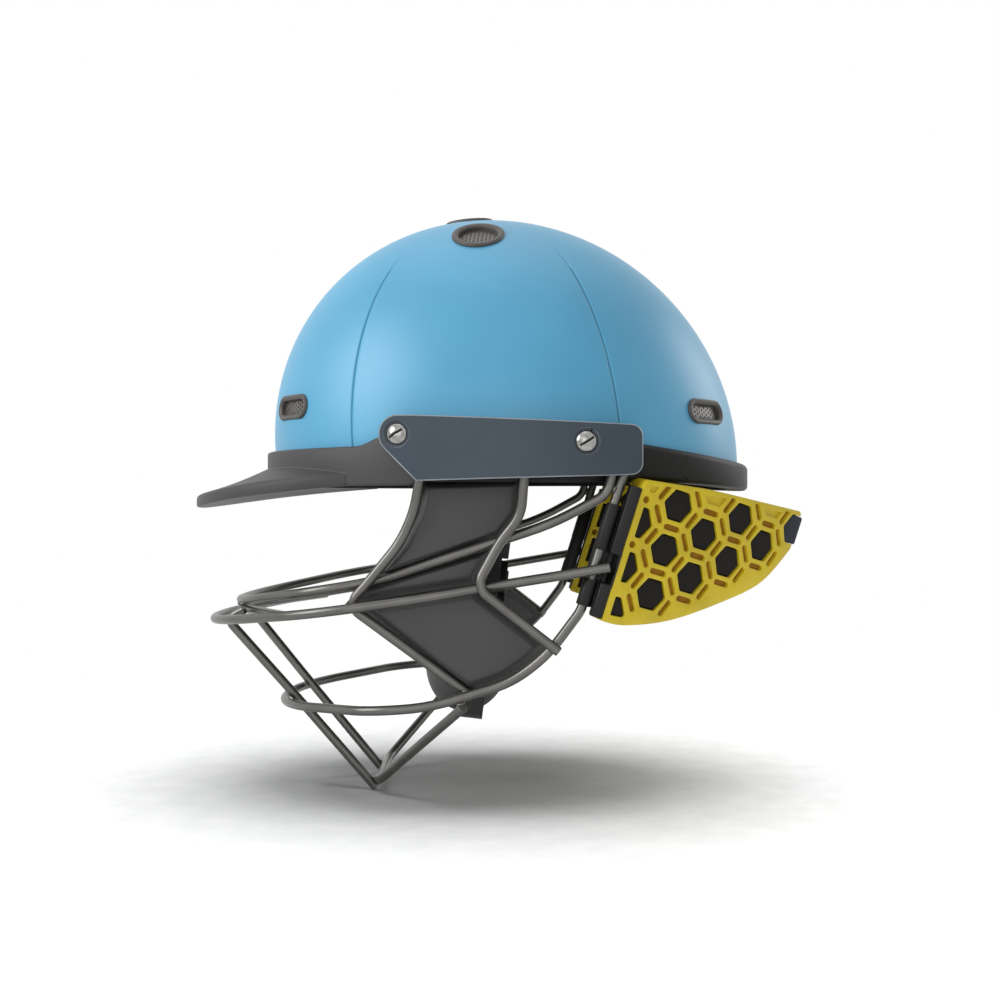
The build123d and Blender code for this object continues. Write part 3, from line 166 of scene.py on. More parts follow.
finishes = {
    # Sprayed light blue paint: an even colour under a soft satin highlight, with no flake.
    "satinShellPaint": {
        "tones": ("#4fa3cb", "#58acd2"), "drift": 55, "grain": (0.35, 0.006),
        "roughness": (0.40, 0.46), "coat": 0.25, "coatRoughness": 0.38, "edge": 0.4, "wear": 0.1},
    # Painted shade in the groove between the shell's panels: a darker blue where less light reaches the paint.
    "seamPaint": {
        "tones": ("#3f8caf", "#4793b6"), "drift": 20, "grain": (0.5, 0.01),
        "roughness": (0.6, 0.7), "edge": 0.1},
    # Moulded mid grey plastic: a matte face with a fine leather grain and pale edges, partly rubbed and partly a
    # painted highlight.
    "peakPlastic": {
        "tones": ("#424242", "#484848"), "drift": 30, "grain": (0.45, 0.02),
        "roughness": (0.48, 0.56), "specular": 0.3, "edge": 0.9, "wear": 0.35, "edgeTone": "#6c6c6c"},
    # Near black edging: soft plastic that shows light only along its rounded rim.
    "trimPlastic": {
        "tones": ("#121311", "#1a1b19"), "drift": 26, "grain": (0.4, 0.015),
        "roughness": (0.42, 0.5), "specular": 0.18, "edge": 1.2, "wear": 0.25, "edgeTone": "#454643"},
    # Vent rings: warm grey plastic with a lip painted paler as a highlight.
    "ventPlastic": {
        "tones": ("#4a4845", "#5a5753"), "drift": 9, "grain": (0.3, 0.015),
        "roughness": (0.4, 0.5), "specular": 0.35, "edge": 0.6, "wear": 0.5, "edgeTone": "#8b8884"},
    # Perforated net: thin painted metal that glints between its holes.
    "netMetal": {
        "tones": ("#565451", "#6a6764"), "drift": 4, "grain": (0.2, 0.01),
        "roughness": (0.35, 0.5), "metallic": 0.5, "edge": 0.2},
    # Blue grey side plate: smooth satin plastic, its edges painted pale as a highlight where the chamfer catches
    # the light.
    "platePlastic": {
        "tones": ("#35404a", "#3a454f"), "drift": 24, "grain": (0.3, 0.012),
        "roughness": (0.36, 0.44), "specular": 0.38, "edge": 0.7, "wear": 0.85, "edgeTone": "#98a1a8"},
    # The plate's chamfer: the same plastic, painted pale as a highlight, and glossy.
    "plateEdge": {
        "tones": ("#838b92", "#99a1a7"), "drift": 24, "grain": (0.3, 0.005),
        "roughness": (0.3, 0.38), "edge": 0.1},
    # Closed cell foam: dead matte, with tiny open pores and no highlight.
    "linerFoam": {
        "tones": ("#191817", "#24221f"), "drift": 8, "grain": (0.8, 0.12),
        "roughness": (0.82, 0.92), "specular": 0.2, "edge": 0.8, "wear": 0.1},
    # Knitted cover of the comfort pads: small soft stitches with a dull sheen at grazing angles.
    "padCloth": {
        "tones": ("#1d1e20", "#2a2b2e"), "drift": 10, "grain": (0.5, 0.1),
        "roughness": (0.85, 0.95), "specular": 0.2, "edge": 1.0, "sheen": 0.4, "weave": (0.9, 0.8)},
    # Powder coated steel rod: dark warm grey with long soft highlights down the bar.
    "coatedSteel": {
        "tones": ("#5e5d5a", "#686763"), "drift": 16, "grain": (0.25, 0.012),
        "roughness": (0.30, 0.36), "metallic": 0.75, "edge": 0.5, "wear": 0.2, "edgeTone": "#8e8d89"},
    # Plain steel screws: bright turned metal with fine scratches.
    "brightSteel": {
        "tones": ("#8b8a87", "#a9a8a5"), "drift": 3, "grain": (0.15, 0.01),
        "roughness": (0.16, 0.28), "metallic": 1.0, "edge": 0.3, "wear": 0.3, "edgeTone": "#c9c8c5"},
    # The slots of the screws: steel painted dark as the shade inside them.
    "slotSteel": {
        "tones": ("#232322", "#2e2d2c"), "drift": 3, "grain": (0.2, 0.01),
        "roughness": (0.5, 0.6), "metallic": 0.5, "edge": 0.1},
    # Rubber washers: black and dull, with a dusty bloom.
    "blackRubber": {
        "tones": ("#121212", "#1c1c1c"), "drift": 6, "grain": (0.3, 0.03),
        "roughness": (0.7, 0.8), "specular": 0.25, "edge": 0.3},
    # Cheek panels: dark grey moulded plastic with a smooth face and a soft edge painted lighter as a highlight.
    "panelPlastic": {
        "tones": ("#393939", "#404040"), "drift": 34, "grain": (0.35, 0.02),
        "roughness": (0.42, 0.5), "specular": 0.4, "edge": 1.4, "wear": 0.4, "edgeTone": "#7d7d7d"},
    # Yellow honeycomb: flexible moulded plastic, waxy, with rims round its cells painted paler as a highlight.
    "yellowPlastic": {
        "tones": ("#cdb412", "#dfc61d"), "drift": 18, "grain": (0.3, 0.02),
        "roughness": (0.38, 0.48), "edge": 0.5, "wear": 0.5, "edgeTone": "#eddf62"},
    # Floors of the recesses along the ribs: the same yellow gone amber in its own shade.
    "amberRecess": {
        "tones": ("#8f6405", "#a37408"), "drift": 4, "grain": (0.3, 0.02),
        "roughness": (0.5, 0.6), "specular": 0.25, "edge": 0.2},
    # Foam in the cells: brown black and matte, with open pores.
    "guardFoam": {
        "tones": ("#191715", "#23201d"), "drift": 5, "grain": (0.6, 0.12),
        "roughness": (0.75, 0.88), "specular": 0.2, "edge": 0.8, "wear": 0.15},
    # The foam block at the tip: denser and bluer, with a faint skin.
    "tipFoam": {
        "tones": ("#24282e", "#2e333a"), "drift": 5, "grain": (0.6, 0.1),
        "roughness": (0.6, 0.75), "specular": 0.25, "edge": 0.8, "wear": 0.15},
    # Rail and clip: near black nylon with a bright edge, partly scuffed and partly a painted highlight.
    "clipPlastic": {
        "tones": ("#121211", "#191817"), "drift": 9, "grain": (0.3, 0.02),
        "roughness": (0.38, 0.5), "specular": 0.25, "edge": 0.5, "wear": 0.5, "edgeTone": "#6d6b68"},
    # Chin cup: soft mid grey rubbery plastic with a faint grain.
    "cupPlastic": {
        "tones": ("#4c4c4c", "#575757"), "drift": 14, "grain": (0.5, 0.04),
        "roughness": (0.5, 0.6), "specular": 0.35, "edge": 0.8, "wear": 0.2, "edgeTone": "#808080"},
    # Webbing: black ribs across the strap and yarns along it, with a dry sheen.
    "wovenStrap": {
        "tones": ("#1d1d1c", "#2b2b2a"), "drift": 6, "grain": (0.5, 0.1),
        "roughness": (0.75, 0.85), "specular": 0.2, "edge": 0.4, "sheen": 0.3, "weave": (1.1, 1.4)},
    # Buckle, slides and hangers: black nylon with a faint gloss.
    "nylonPlastic": {
        "tones": ("#171717", "#202020"), "drift": 8, "grain": (0.3, 0.02),
        "roughness": (0.4, 0.5), "specular": 0.35, "edge": 0.5, "wear": 0.3, "edgeTone": "#4a4a4a"},
}
materials = {name: makeFinish(name, look) for name, look in finishes.items()}
print("materials made:", len(materials))

# Finishes of the nodes that keep their shape. Pieces made below stand for all the others.
nodeFinishes = {"plate_washers": "blackRubber", "plate_tee_nuts": "brightSteel", "strap_pivots": "brightSteel"}
for nodeName, node in nodes.items():
    base = nodeName.removesuffix("_left").removesuffix("_right")
    node.data.materials.clear()
    node.data.materials.append(materials[nodeFinishes.get(base, "coatedSteel")])


# Meshes and pieces, and the gap in millimetres under which vertices are joined
joinGap = {"piece": 0.01, "node": 0.02, "cutter": 0.001}


def newObject(name, mesh):
    data = bpy.data.meshes.new(name)
    mesh.to_mesh(data)
    mesh.free()
    made = bpy.data.objects.new(name, data)
    scene.collection.objects.link(made)
    return made


def shapeNow(thing):
    # The object's mesh with its modifiers applied.
    return bpy.data.meshes.new_from_object(thing.evaluated_get(bpy.context.evaluated_depsgraph_get()))


def sides(points):
    # Each side of a closed shape as its two ends.
    return zip(points, points[1:] + points[:1])


def skinRings(mesh, rings, capped=True):
    # Joins closed rings of vertices into a skin, with a face over each end.
    for low, high in zip(rings, rings[1:]):
        for (a, b), (c, d) in zip(sides(low), sides(high)):
            if a is not b:
                mesh.faces.new((a, b, d, c))
    if capped:
        mesh.faces.new(rings[0])
        mesh.faces.new(list(reversed(rings[-1])))


def pieceNamed(nodeName):
    # A node's name with its words joined.
    first, *others = nodeName.split("_")
    return first + "".join(word.title() for word in others)


def joinVerts(mesh, gap):
    # Joins vertices that lie closer than a gap, and turns every face outwards.
    bmesh.ops.remove_doubles(mesh, verts=mesh.verts, dist=gap * mm)
    bmesh.ops.recalc_face_normals(mesh, faces=mesh.faces)


def softenEdges(mesh, width, segments, angle, limit, clamped):
    # Rounds the edges that are sharper than an angle and that the limit lets through.
    hard = [edge for edge in mesh.edges if len(edge.link_faces) == 2
            and edge.calc_face_angle(0) > math.radians(angle) and (limit is None or limit(edge))]
    bmesh.ops.bevel(mesh, geom=hard, offset=width * mm, offset_type="OFFSET", segments=segments, profile=0.5,
                    affect="EDGES", clamp_overlap=clamped)


def makePiece(name, mesh, finishNames, body, replaced=(), sharp=38):
    # Finished mesh to a piece that rides on a body.
    joinVerts(mesh, joinGap["piece"])
    for face in mesh.faces:
        face.smooth = True
    piece = newObject(name, mesh)
    for finishName in finishNames:
        piece.data.materials.append(materials[finishName])
    if sharp:
        piece.data.set_sharp_from_angle(angle=math.radians(sharp))
    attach(piece, body)
    if replaced:
        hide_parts(*replaced)
    return piece


# Shell
shell = {
    "halfLength": 131.6, "halfWidth": 105.0, "halfHeight": 131.5, "centre": 24.0, "lean": -0.07,
    "wall": 4.0, "rim": 5.0, "frontSeam": -126.9, "rearSeam": -63.9, "seamTop": 134.0, "seamFade": 16.0,
    "seamHalf": 0.42, "seamFlat": 1.6, "seamDepth": 0.55, "seamLevel": 0.55, "edging": 9.2, "turnStep": 1.1,
    "rows": 120, "innerStep": 4}


def domePoint(turn, height, grow=0.0):
    # Point at one angle round the head and one height, grow outside the shell.
    lift = height - shell["centre"]
    level = math.sqrt(max(0.0, 1 - (lift / (shell["halfHeight"] + grow)) ** 2))
    x = shell["lean"] * lift + (shell["halfLength"] + grow) * level * math.cos(turn)
    y = (shell["halfWidth"] + grow) * level * math.sin(turn)
    return Vector((x, y, height)) * mm


def shellTurns():
    # Angles round the head, with close pairs beside each seam, and the seam that each one belongs to.
    stops = [-180.0, shell["frontSeam"], shell["rearSeam"], 0.0]
    turns = []
    for low, high in zip(stops, stops[1:]):
        count = round((high - low) / shell["turnStep"])
        skipLow = 2 if low > -180 else 0
        skipHigh = 1 if high < 0 else 0
        kept = [i for i in range(count) if i == 0 or skipLow < i + 1 and i < count - skipHigh]
        turns += [low + (high - low) * i / count for i in kept]
    whole = turns + [0.0] + [-turn for turn in reversed(turns[1:])]
    seams = [shell["frontSeam"], shell["rearSeam"], -shell["rearSeam"], -shell["frontSeam"]]
    result = []
    for turn in whole:
        if any(abs(turn - seam) < 0.01 for seam in seams):
            result += [(turn, k) for k in (-2, -1, 0, 1, 2)]
        else:
            result.append((turn, None))
    return result


def rowPlace(i, grow=0.0):
    # Angle up the dome and height of one row of the shell.
    low = math.asin((shell["rim"] - shell["centre"]) / shell["halfHeight"])
    angle = low + (math.pi / 2 - low) * i / shell["rows"]
    return angle, shell["centre"] + (shell["halfHeight"] + grow) * math.sin(angle)


def crownVert(mesh, grow=0.0):
    height = shell["centre"] + shell["halfHeight"] + grow
    return mesh.verts.new(Vector((shell["lean"] * shell["halfHeight"], 0, height)) * mm)


def buildShell():
    turns = shellTurns()
    offsets = (-shell["seamFlat"], -shell["seamHalf"], 0.0, shell["seamHalf"], shell["seamFlat"])
    mesh = bmesh.new()
    outer = []
    for i in range(shell["rows"]):
        angle, height = rowPlace(i)
        fade = min(1.0, max(0.0, (shell["seamTop"] - height) / shell["seamFade"]))
        line = []
        for turn, k in turns:
            shift, depth = 0.0, 0.0
            if k is not None:
                offset = offsets[k + 2]
                shift = offset / (shell["halfWidth"] * max(math.cos(angle), shell["seamLevel"]))
                depth = shell["seamDepth"] * fade if k == 0 else 0.0
            line.append(mesh.verts.new(domePoint(math.radians(turn) + shift, height, -depth)))
        outer.append(line)
    crown = crownVert(mesh)
    inner = []
    for i in range(0, shell["rows"], shell["innerStep"]):
        height = rowPlace(i, -shell["wall"])[1] if i else shell["rim"]
        inner.append([mesh.verts.new(domePoint(math.radians(turn), height, -shell["wall"])) for turn, k in turns])
    inside = crownVert(mesh, -shell["wall"])
    count = len(turns)
    seamEnd = (shell["seamTop"] - shell["seamFade"]) * mm
    for grid, top in ((outer, crown), (inner, inside)):
        for a, b in zip(grid, grid[1:]):
            for j in range(count):
                k = (j + 1) % count
                face = mesh.faces.new((a[j], a[k], b[k], b[j]))
                # Faces in the groove take the darker paint, a painted shade.
                inGroove = turns[j][1] in (-1, 0) and turns[k][1] in (0, 1)
                face.material_index = 2 if inGroove and a[j].co.z < seamEnd else 0
        for a, b in sides(grid[-1]):
            mesh.faces.new((a, b, top))
    skinRings(mesh, [outer[0], inner[0]], False)
    within = {vert for line in inner for vert in line} | {inside}
    for face in mesh.faces:
        low = all(vert.co.z < shell["edging"] * mm for vert in face.verts)
        if low or any(vert in within for vert in face.verts):
            face.material_index = 1
    return makePiece("paintedShell", mesh, ["satinShellPaint", "trimPlastic", "seamPaint"], "helmet",
                     ["outer_shell"], sharp=60)


shellPiece = buildShell()
print("shell made")


# Flat outlines: points in millimetres, run round the shape
def clipLine(points, a, b):
    # The part of a shape on the left of the line from a to b.
    kept = []
    for p, q in sides(points):
        sideP = (b[0] - a[0]) * (p[1] - a[1]) - (b[1] - a[1]) * (p[0] - a[0])
        sideQ = (b[0] - a[0]) * (q[1] - a[1]) - (b[1] - a[1]) * (q[0] - a[0])
        if sideP >= 0:
            kept.append(p)
        if (sideP > 0) != (sideQ > 0) and abs(sideP - sideQ) > 1e-9:
            share = sideP / (sideP - sideQ)
            kept.append((p[0] + share * (q[0] - p[0]), p[1] + share * (q[1] - p[1])))
    return kept


def clipShape(points, limit):
    for a, b in sides(limit):
        points = clipLine(points, a, b)
        if len(points) < 3:
            return []
    return points


def shapeArea(points):
    return sum(p[0] * q[1] - q[0] * p[1] for p, q in sides(points)) / 2


def insetShape(points, amount):
    # Moves every side of a shape that runs anticlockwise inwards, by one amount or one for each side.
    amounts = amount if isinstance(amount, list) else [amount] * len(points)
    lines = []
    for (p, q), step in zip(sides(points), amounts):
        way = Vector((q[0] - p[0], q[1] - p[1])).normalized()
        inward = Vector((-way.y, way.x)) * step
        lines.append((Vector(p) + inward, way))
    result = []
    for (a, wayA), (b, wayB) in zip(lines[-1:] + lines[:-1], lines):
        cross = wayA.x * wayB.y - wayA.y * wayB.x
        if abs(cross) < 1e-4:
            result.append(tuple(b))
        else:
            share = ((b - a).x * wayB.y - (b - a).y * wayB.x) / cross
            result.append(tuple(a + wayA * share))
    return result


def tidyShape(points, least=0.3):
    kept = []
    for p in points:
        if not kept or (Vector(p) - Vector(kept[-1])).length > least:
            kept.append(p)
    if len(kept) > 1 and (Vector(kept[0]) - Vector(kept[-1])).length <= least:
        kept.pop()
    return kept


def roundShape(points, radius, steps=4, share=0.45):
    # Rounds every corner, and takes at most a share of each side for it.
    points = tidyShape(points)
    result = []
    for i, corner in enumerate(points):
        before, after = Vector(points[i - 1]), Vector(points[(i + 1) % len(points)])
        corner = Vector(corner)
        inWay, outWay = (before - corner), (after - corner)
        cut = min(radius, inWay.length * share, outWay.length * share)
        start, end = corner + inWay.normalized() * cut, corner + outWay.normalized() * cut
        for k in range(steps + 1):
            t = k / steps
            result.append(tuple(start * (1 - t) ** 2 + corner * 2 * t * (1 - t) + end * t**2))
    return result


def hexagon(centre, window):
    reach = window / math.sqrt(3)
    turns = [math.radians(60 * k) for k in range(6)]
    return [(centre[0] + reach * math.cos(turn), centre[1] + reach * math.sin(turn)) for turn in turns]


def slotShape(centre, turn, length, width, steps=5):
    points = []
    half = (length - width) / 2
    for side in (1, -1):
        for k in range(steps + 1):
            angle = turn + (0 if side > 0 else math.pi) - math.pi / 2 + math.pi * k / steps
            points.append((centre[0] + side * half * math.cos(turn) + width / 2 * math.cos(angle),
                           centre[1] + side * half * math.sin(turn) + width / 2 * math.sin(angle)))
    return points


def insideShape(point, shape):
    inside = False
    for (ax, ay), (bx, by) in sides(shape):
        if (ay > point[1]) != (by > point[1]) and point[0] < ax + (point[1] - ay) / (by - ay) * (bx - ax):
            inside = not inside
    return inside


# Neck guards: honeycomb, foam in its cells, and the amber recesses along its ribs
guard = {
    "place": (46.853, 100.658, -28.0), "way": (0.29852, 0.954403), "bow": 360.0,
    "startTurn": math.radians(22), "start": 11.0, "outer": -4.0, "wall": 15.0, "border": 3.6,
    "topBorder": 2.2, "pitch": 23.3, "window": 15.7, "cellStart": 2.8, "cellBase": 29.8, "climb": 2.0,
    "rows": (3, 3, 2, 2, 1, 1), "leastCell": 9.0, "cellRound": 1.0, "pocketInset": 0.5, "pocketRound": 0.7,
    "pocketShare": 0.8, "slotLength": 10.2, "slotWidth": 3.1, "slotDepth": 1.8, "slotBorder": 0.72,
    "slotFine": 0.12, "leastSlot": 0.6, "lowestSlot": -24.0, "recess": 3.8, "recessPlace": 3.9,
    "recessStretch": 1.02, "recessRoom": 1.0, "lowestRecess": -10.0, "neighbour": 1.2, "columns": (-1, 8),
    "lines": (-2, 6), "edge": 0.45, "sharp": 55, "corner": 2.6, "beyond": 140.0, "rear": 101.7,
    "rearLow": 29.4, "rearHigh": 50.3,
    "belly": [(11, -34.4), (23, -33.5), (45, -25.2), (69, -9.8), (90, 7.4)],
    "top": [(54, 45.8), (11, 39.2)]}


def bellyCurve(points, end, steps=6):
    # Smooth line through the points of the belly and on to the rear edge.
    chain = [points[0]] + points + [end, end]
    result = []
    for p, q, r, s in zip(chain, chain[1:], chain[2:], chain[3:]):
        for k in range(steps):
            t = k / steps
            weights = (-t + 2 * t**2 - t**3, 2 - 5 * t**2 + 3 * t**3, t + 4 * t**2 - 3 * t**3, t**3 - t**2)
            result.append(tuple(sum(weight * spot[axis] for weight, spot in zip(weights, (p, q, r, s))) / 2
                                for axis in (0, 1)))
    return result


def guardRun(across):
    # Distance along the bowed face for a distance straight across from the hinge.
    centre = guard["start"] - guard["bow"] * math.sin(guard["startTurn"])
    return (math.asin((across - centre) / guard["bow"]) - guard["startTurn"]) * guard["bow"]


def guardPoint(run, height, depth, side):
    turn = guard["startTurn"] + run / guard["bow"]
    radius = guard["bow"] - depth
    across = guard["start"] - guard["bow"] * math.sin(guard["startTurn"]) + radius * math.sin(turn)
    inward = guard["outer"] + guard["bow"] * math.cos(guard["startTurn"]) - radius * math.cos(turn)
    wayX, wayZ = guard["way"]
    x = guard["place"][0] + across * wayZ + height * wayX
    y = -guard["place"][1] + inward
    z = guard["place"][2] - across * wayX + height * wayZ
    return Vector((x, y * side, z)) * mm


def guardLattice():
    columnStep = guard["pitch"] * math.sqrt(3) / 2
    cells = {}
    for column in range(*guard["columns"]):
        for row in range(*guard["lines"]):
            height = guard["cellBase"] + guard["climb"] * column - row * guard["pitch"]
            height -= guard["pitch"] / 2 if column % 2 == 0 else 0
            real = 0 <= column < len(guard["rows"]) and 0 <= row < guard["rows"][column]
            cells[(column, row)] = (guard["cellStart"] + column * columnStep, height, real)
    return cells


def guardBand(top, rear):
    # A limit that cuts a shape only along its top and its rear.
    low = -guard["beyond"]
    return [(0, low), (rear, low), (rear, top), (0, top)]


def guardShapes():
    end = (guard["rear"], guard["rearLow"])
    back = [end, (guard["rear"], guard["rearHigh"])] + guard["top"]
    outline = [(guardRun(x), z) for x, z in bellyCurve(guard["belly"], end) + back]
    coarse = [(guardRun(x), z) for x, z in guard["belly"] + back]
    borders = [guard["border"]] * (len(coarse) - 3) + [guard["topBorder"]] * 2 + [guard["border"]]
    inner = insetShape(coarse, borders)
    slotLimit = insetShape(coarse, [border * guard["slotBorder"] for border in borders])
    cells = guardLattice()
    windows, pockets, slots = [], [], []
    tip = (len(guard["rows"]) - 1, 0)
    for key, (run, height, real) in cells.items():
        cell = hexagon((run, height), guard["window"])
        shape = clipShape(cell, inner)
        if not shape or shapeArea(shape) < guard["leastCell"]:
            continue
        if key == tip:
            shape = clipShape(cell, guardBand(inner[-3][1], guard["beyond"]))
        if real:
            windows.append(roundShape(shape, guard["cellRound"]))
        elif height > cells[(key[0], 0)][1]:
            pockets.append(roundShape(insetShape(tidyShape(shape), guard["pocketInset"]), guard["pocketRound"]))
    keys = list(cells)
    room = guard["recessRoom"]
    for i, first in enumerate(keys):
        for second in keys[i + 1:]:
            a, b = cells[first], cells[second]
            gap = Vector((b[0] - a[0], b[1] - a[1]))
            middle = ((a[0] + b[0]) / 2, (a[1] + b[1]) / 2)
            apart = gap.length > guard["pitch"] * guard["neighbour"]
            if apart or not (a[2] or b[2]) or middle[1] < guard["lowestSlot"]:
                continue
            atFront = middle[0] < guard["slotLength"] / 2 + room and abs(gap.x) < room
            if atFront and middle[1] > guard["lowestRecess"]:
                shape = slotShape((guard["recessPlace"], middle[1]), 0, guard["recess"] * guard["recessStretch"],
                                  guard["recess"])
            else:
                turn = math.atan2(gap.y, gap.x) + math.pi / 2
                whole = slotShape(middle, turn, guard["slotLength"], guard["slotWidth"])
                shape = clipShape(whole, slotLimit)
                if not shape or shapeArea(shape) < shapeArea(whole) * guard["leastSlot"]:
                    continue
            slots.append(tidyShape(shape, guard["slotFine"]))
    return outline, windows, pockets, slots


def fillBetween(outline, holes):
    # Triangles of a flat sheet with holes, as indices into one list of points.
    points, edges = [], []
    for shape in [outline] + holes:
        start = len(points)
        points += [Vector(p) for p in shape]
        edges += sides(list(range(start, len(points))))
    result = delaunay_2d_cdt(points, edges, [], 0, 1e-5)
    corners, faces = result[0], result[2]
    kept = []
    for face in faces:
        middle = sum((corners[i] for i in face), Vector((0, 0))) / len(face)
        if insideShape(middle, outline) and not any(insideShape(middle, hole) for hole in holes):
            kept.append(face)
    return corners, kept


def addSheet(mesh, faces, front, back):
    # The two skins of a filled sheet.
    for face in faces:
        mesh.faces.new([front[i] for i in face])
        mesh.faces.new([back[i] for i in reversed(face)])


def addWall(mesh, shape, corners, front, back):
    # Wall between the skins of a sheet along one of its shapes.
    spots = cornersOf(shape, corners)
    skinRings(mesh, [[front[i] for i in spots], [back[i] for i in spots]], False)


def cornersOf(shape, corners):
    # Which corners of a sheet the points of a shape lie on.
    return [min(range(len(corners)), key=lambda i: (corners[i] - Vector(p)).length_squared) for p in shape]


def buildHoneycomb(side, label):
    outline, windows, pockets, slots = guardShapes()
    outline = roundShape(outline, guard["corner"])
    tipWindow = max(windows, key=lambda shape: max(p[0] for p in shape))
    solid = [w for w in windows if w is not tipWindow]
    edge = clipNotch(outline, tipWindow)
    blind = pockets + slots
    corners, faces = fillBetween(edge, solid + blind)
    mesh = bmesh.new()
    wall = guard["wall"]
    front = [mesh.verts.new(guardPoint(p.x, p.y, 0, side)) for p in corners]
    back = [mesh.verts.new(guardPoint(p.x, p.y, wall, side)) for p in corners]
    addSheet(mesh, faces, front, back)
    for shape in [edge] + solid:
        addWall(mesh, shape, corners, front, back)
    for shape in blind:
        isSlot = shape in slots
        deep = guard["slotDepth"] * (1 if isSlot else guard["pocketShare"])
        spots = cornersOf(shape, corners)
        narrow = insetShape(shape, guard["slotFine"])
        for skin, floorDepth in ((front, deep), (back, wall - deep)):
            low = [mesh.verts.new(guardPoint(*p, floorDepth, side)) for p in narrow]
            skinRings(mesh, [[skin[i] for i in spots], low], False)
            floor = mesh.faces.new(low)
            floor.material_index = 1 if isSlot else 0
    bmesh.ops.recalc_face_normals(mesh, faces=mesh.faces)
    mesh.normal_update()
    softenEdges(mesh, guard["edge"], 2, guard["sharp"],
                lambda edge: not any(face.material_index for face in edge.link_faces), True)
    return makePiece("honeycomb" + label.title(), mesh, ["yellowPlastic", "amberRecess"], "neck_guard_" + label,
                     ["neck_guard_honeycomb_" + label])


notch = {"end": 0.4, "near": 1.5, "slack": 0.1, "reach": 3.0, "pivot": 4.0, "fine": 0.15}


def clipNotch(outline, window):
    # Outline with the tip's window cut out of its rear edge.
    reach = max(p[0] for p in outline)
    inside = [p for p in window if p[0] < reach - notch["end"]]
    high = max(p[1] for p in inside)
    low = min(p[1] for p in inside)
    ordered = sorted(inside, key=lambda p: math.atan2(p[1] - (low + high) / 2, reach + notch["pivot"] - p[0]))
    result = []
    for p, q in sides(outline):
        if p[0] <= reach - notch["near"] or not low - notch["slack"] < p[1] < high + notch["slack"]:
            result.append(p)
        if min(p[0], q[0]) > reach - notch["reach"] and p[1] < low <= q[1]:
            result += [(reach, low)] + ordered + [(reach, high)]
    return tidyShape(result, notch["fine"])


foam = {
    "gap": 0.25, "recess": 0.9, "levels": [(1.3, 0.0), (0.45, 0.25), (0.0, 0.9)], "fine": 0.1, "least": 0.1,
    "core": 0.5, "tipProud": 0.7, "tipReach": 2.2, "tipRound": 4.2}


def buildGuardFoam(side, label):
    mesh = bmesh.new()
    wall = guard["wall"]
    windows = guardShapes()[1]
    tip = max(windows, key=lambda shape: max(p[0] for p in shape))
    reach = guardRun(guard["rear"] + foam["tipReach"])
    for window in windows:
        shape = insetShape(tidyShape(window, foam["fine"]), foam["gap"])
        sunk = foam["recess"]
        if window is tip:
            shape = roundShape(clipShape(shape, guardBand(guard["beyond"], reach)), foam["tipRound"], 6)
            sunk -= foam["tipProud"]
        centre = Vector((sum(p[0] for p in shape) / len(shape), sum(p[1] for p in shape) / len(shape)))
        levels = [(inset, depth + sunk) for inset, depth in foam["levels"]]
        rings = []
        for inset, depth in levels + [(inset, wall - depth) for inset, depth in reversed(levels)]:
            ring = []
            for p in shape:
                away = Vector(p) - centre
                spot = centre + away * max(foam["least"], 1 - inset / max(away.length, foam["core"]))
                ring.append(mesh.verts.new(guardPoint(spot.x, spot.y, depth, side)))
            rings.append(ring)
        skinRings(mesh, rings)
        if window is tip:
            spots = {vert for ring in rings for vert in ring}
            for face in mesh.faces:
                if face.verts[0] in spots:
                    face.material_index = 1
    piece = makePiece("guardFoam" + label.title(), mesh, ["guardFoam", "tipFoam"], "neck_guard_" + label,
                      ["neck_guard_foam_" + label], sharp=50)


for side, label in ((1, "left"), (-1, "right")):
    buildHoneycomb(side, label)
    buildGuardFoam(side, label)
print("neck guards made")


def softenNode(nodeName, finishNames, body, width, segments=2, angle=40, limit=None, change=None, clean=0.6,
               pieceName=None):
    # A copy of a CAD node's shape with rounded edges, which stands for the node.
    mesh = bmesh.new()
    mesh.from_mesh(nodes[nodeName].data)
    bmesh.ops.remove_doubles(mesh, verts=mesh.verts, dist=joinGap["node"] * mm)
    bmesh.ops.dissolve_limit(mesh, angle_limit=math.radians(clean), verts=mesh.verts, edges=mesh.edges)
    bmesh.ops.recalc_face_normals(mesh, faces=mesh.faces)
    mesh.normal_update()
    softenEdges(mesh, width, segments, angle, limit, limit is None)
    if change:
        change(mesh)
    return makePiece(pieceName or pieceNamed(nodeName), mesh, finishNames, body, [nodeName], sharp=40)


# Openings in the shell: ring frames with a perforated net behind them, each given by the way it faces
vents = {
    "crown": [(-0.05435, -0.48571), (-0.0896, 0.0), (-0.05435, 0.48571)],
    "front": [(-0.86644, -0.47043), (-0.86644, 0.47043)],
    "rear": [(0.82034, -0.55333), (0.82034, 0.55333)]}
ventSize = {
    "roundOuter": 28.5, "roundBore": 21.0, "length": 33.0, "height": 13.5, "border": 2.9, "proud": 1.7,
    "clear": 0.2, "collar": 1.1, "netDepth": 1.6, "netWall": 1.0, "netGap": 0.02, "netEdge": 1.25,
    "pitch": 2.15, "rise": 1.1, "hole": 0.62, "holeRise": 1.25, "cut": 1.2, "cutIn": 14.0, "cutOut": 8.0,
    "frameCount": 64, "netCount": 40, "cutCount": 48}


def ventBore(group):
    # Width of a frame's ring, from its outer edge to its bore. The crown's frames are round, the others long.
    return (ventSize["roundOuter"] - ventSize["roundBore"]) / 2 if group == "crown" else ventSize["border"]


def ventFrame(turn):
    turnX, turnY = turn
    turnZ = math.sqrt(1 - turnX**2 - turnY**2)
    lift = turnZ * shell["halfHeight"]
    origin = Vector((turnX * shell["halfLength"] + shell["lean"] * lift, turnY * shell["halfWidth"],
                     lift + shell["centre"]))
    outX, outY = turnX / shell["halfLength"], turnY / shell["halfWidth"]
    out = Vector((outX, outY, turnZ / shell["halfHeight"] - shell["lean"] * outX)).normalized()
    level = Vector((0, 0, 1)).cross(out)
    level = level.normalized() if level.length > 0.1 else Vector((0, 1, 0))
    return origin, level, out.cross(level), out


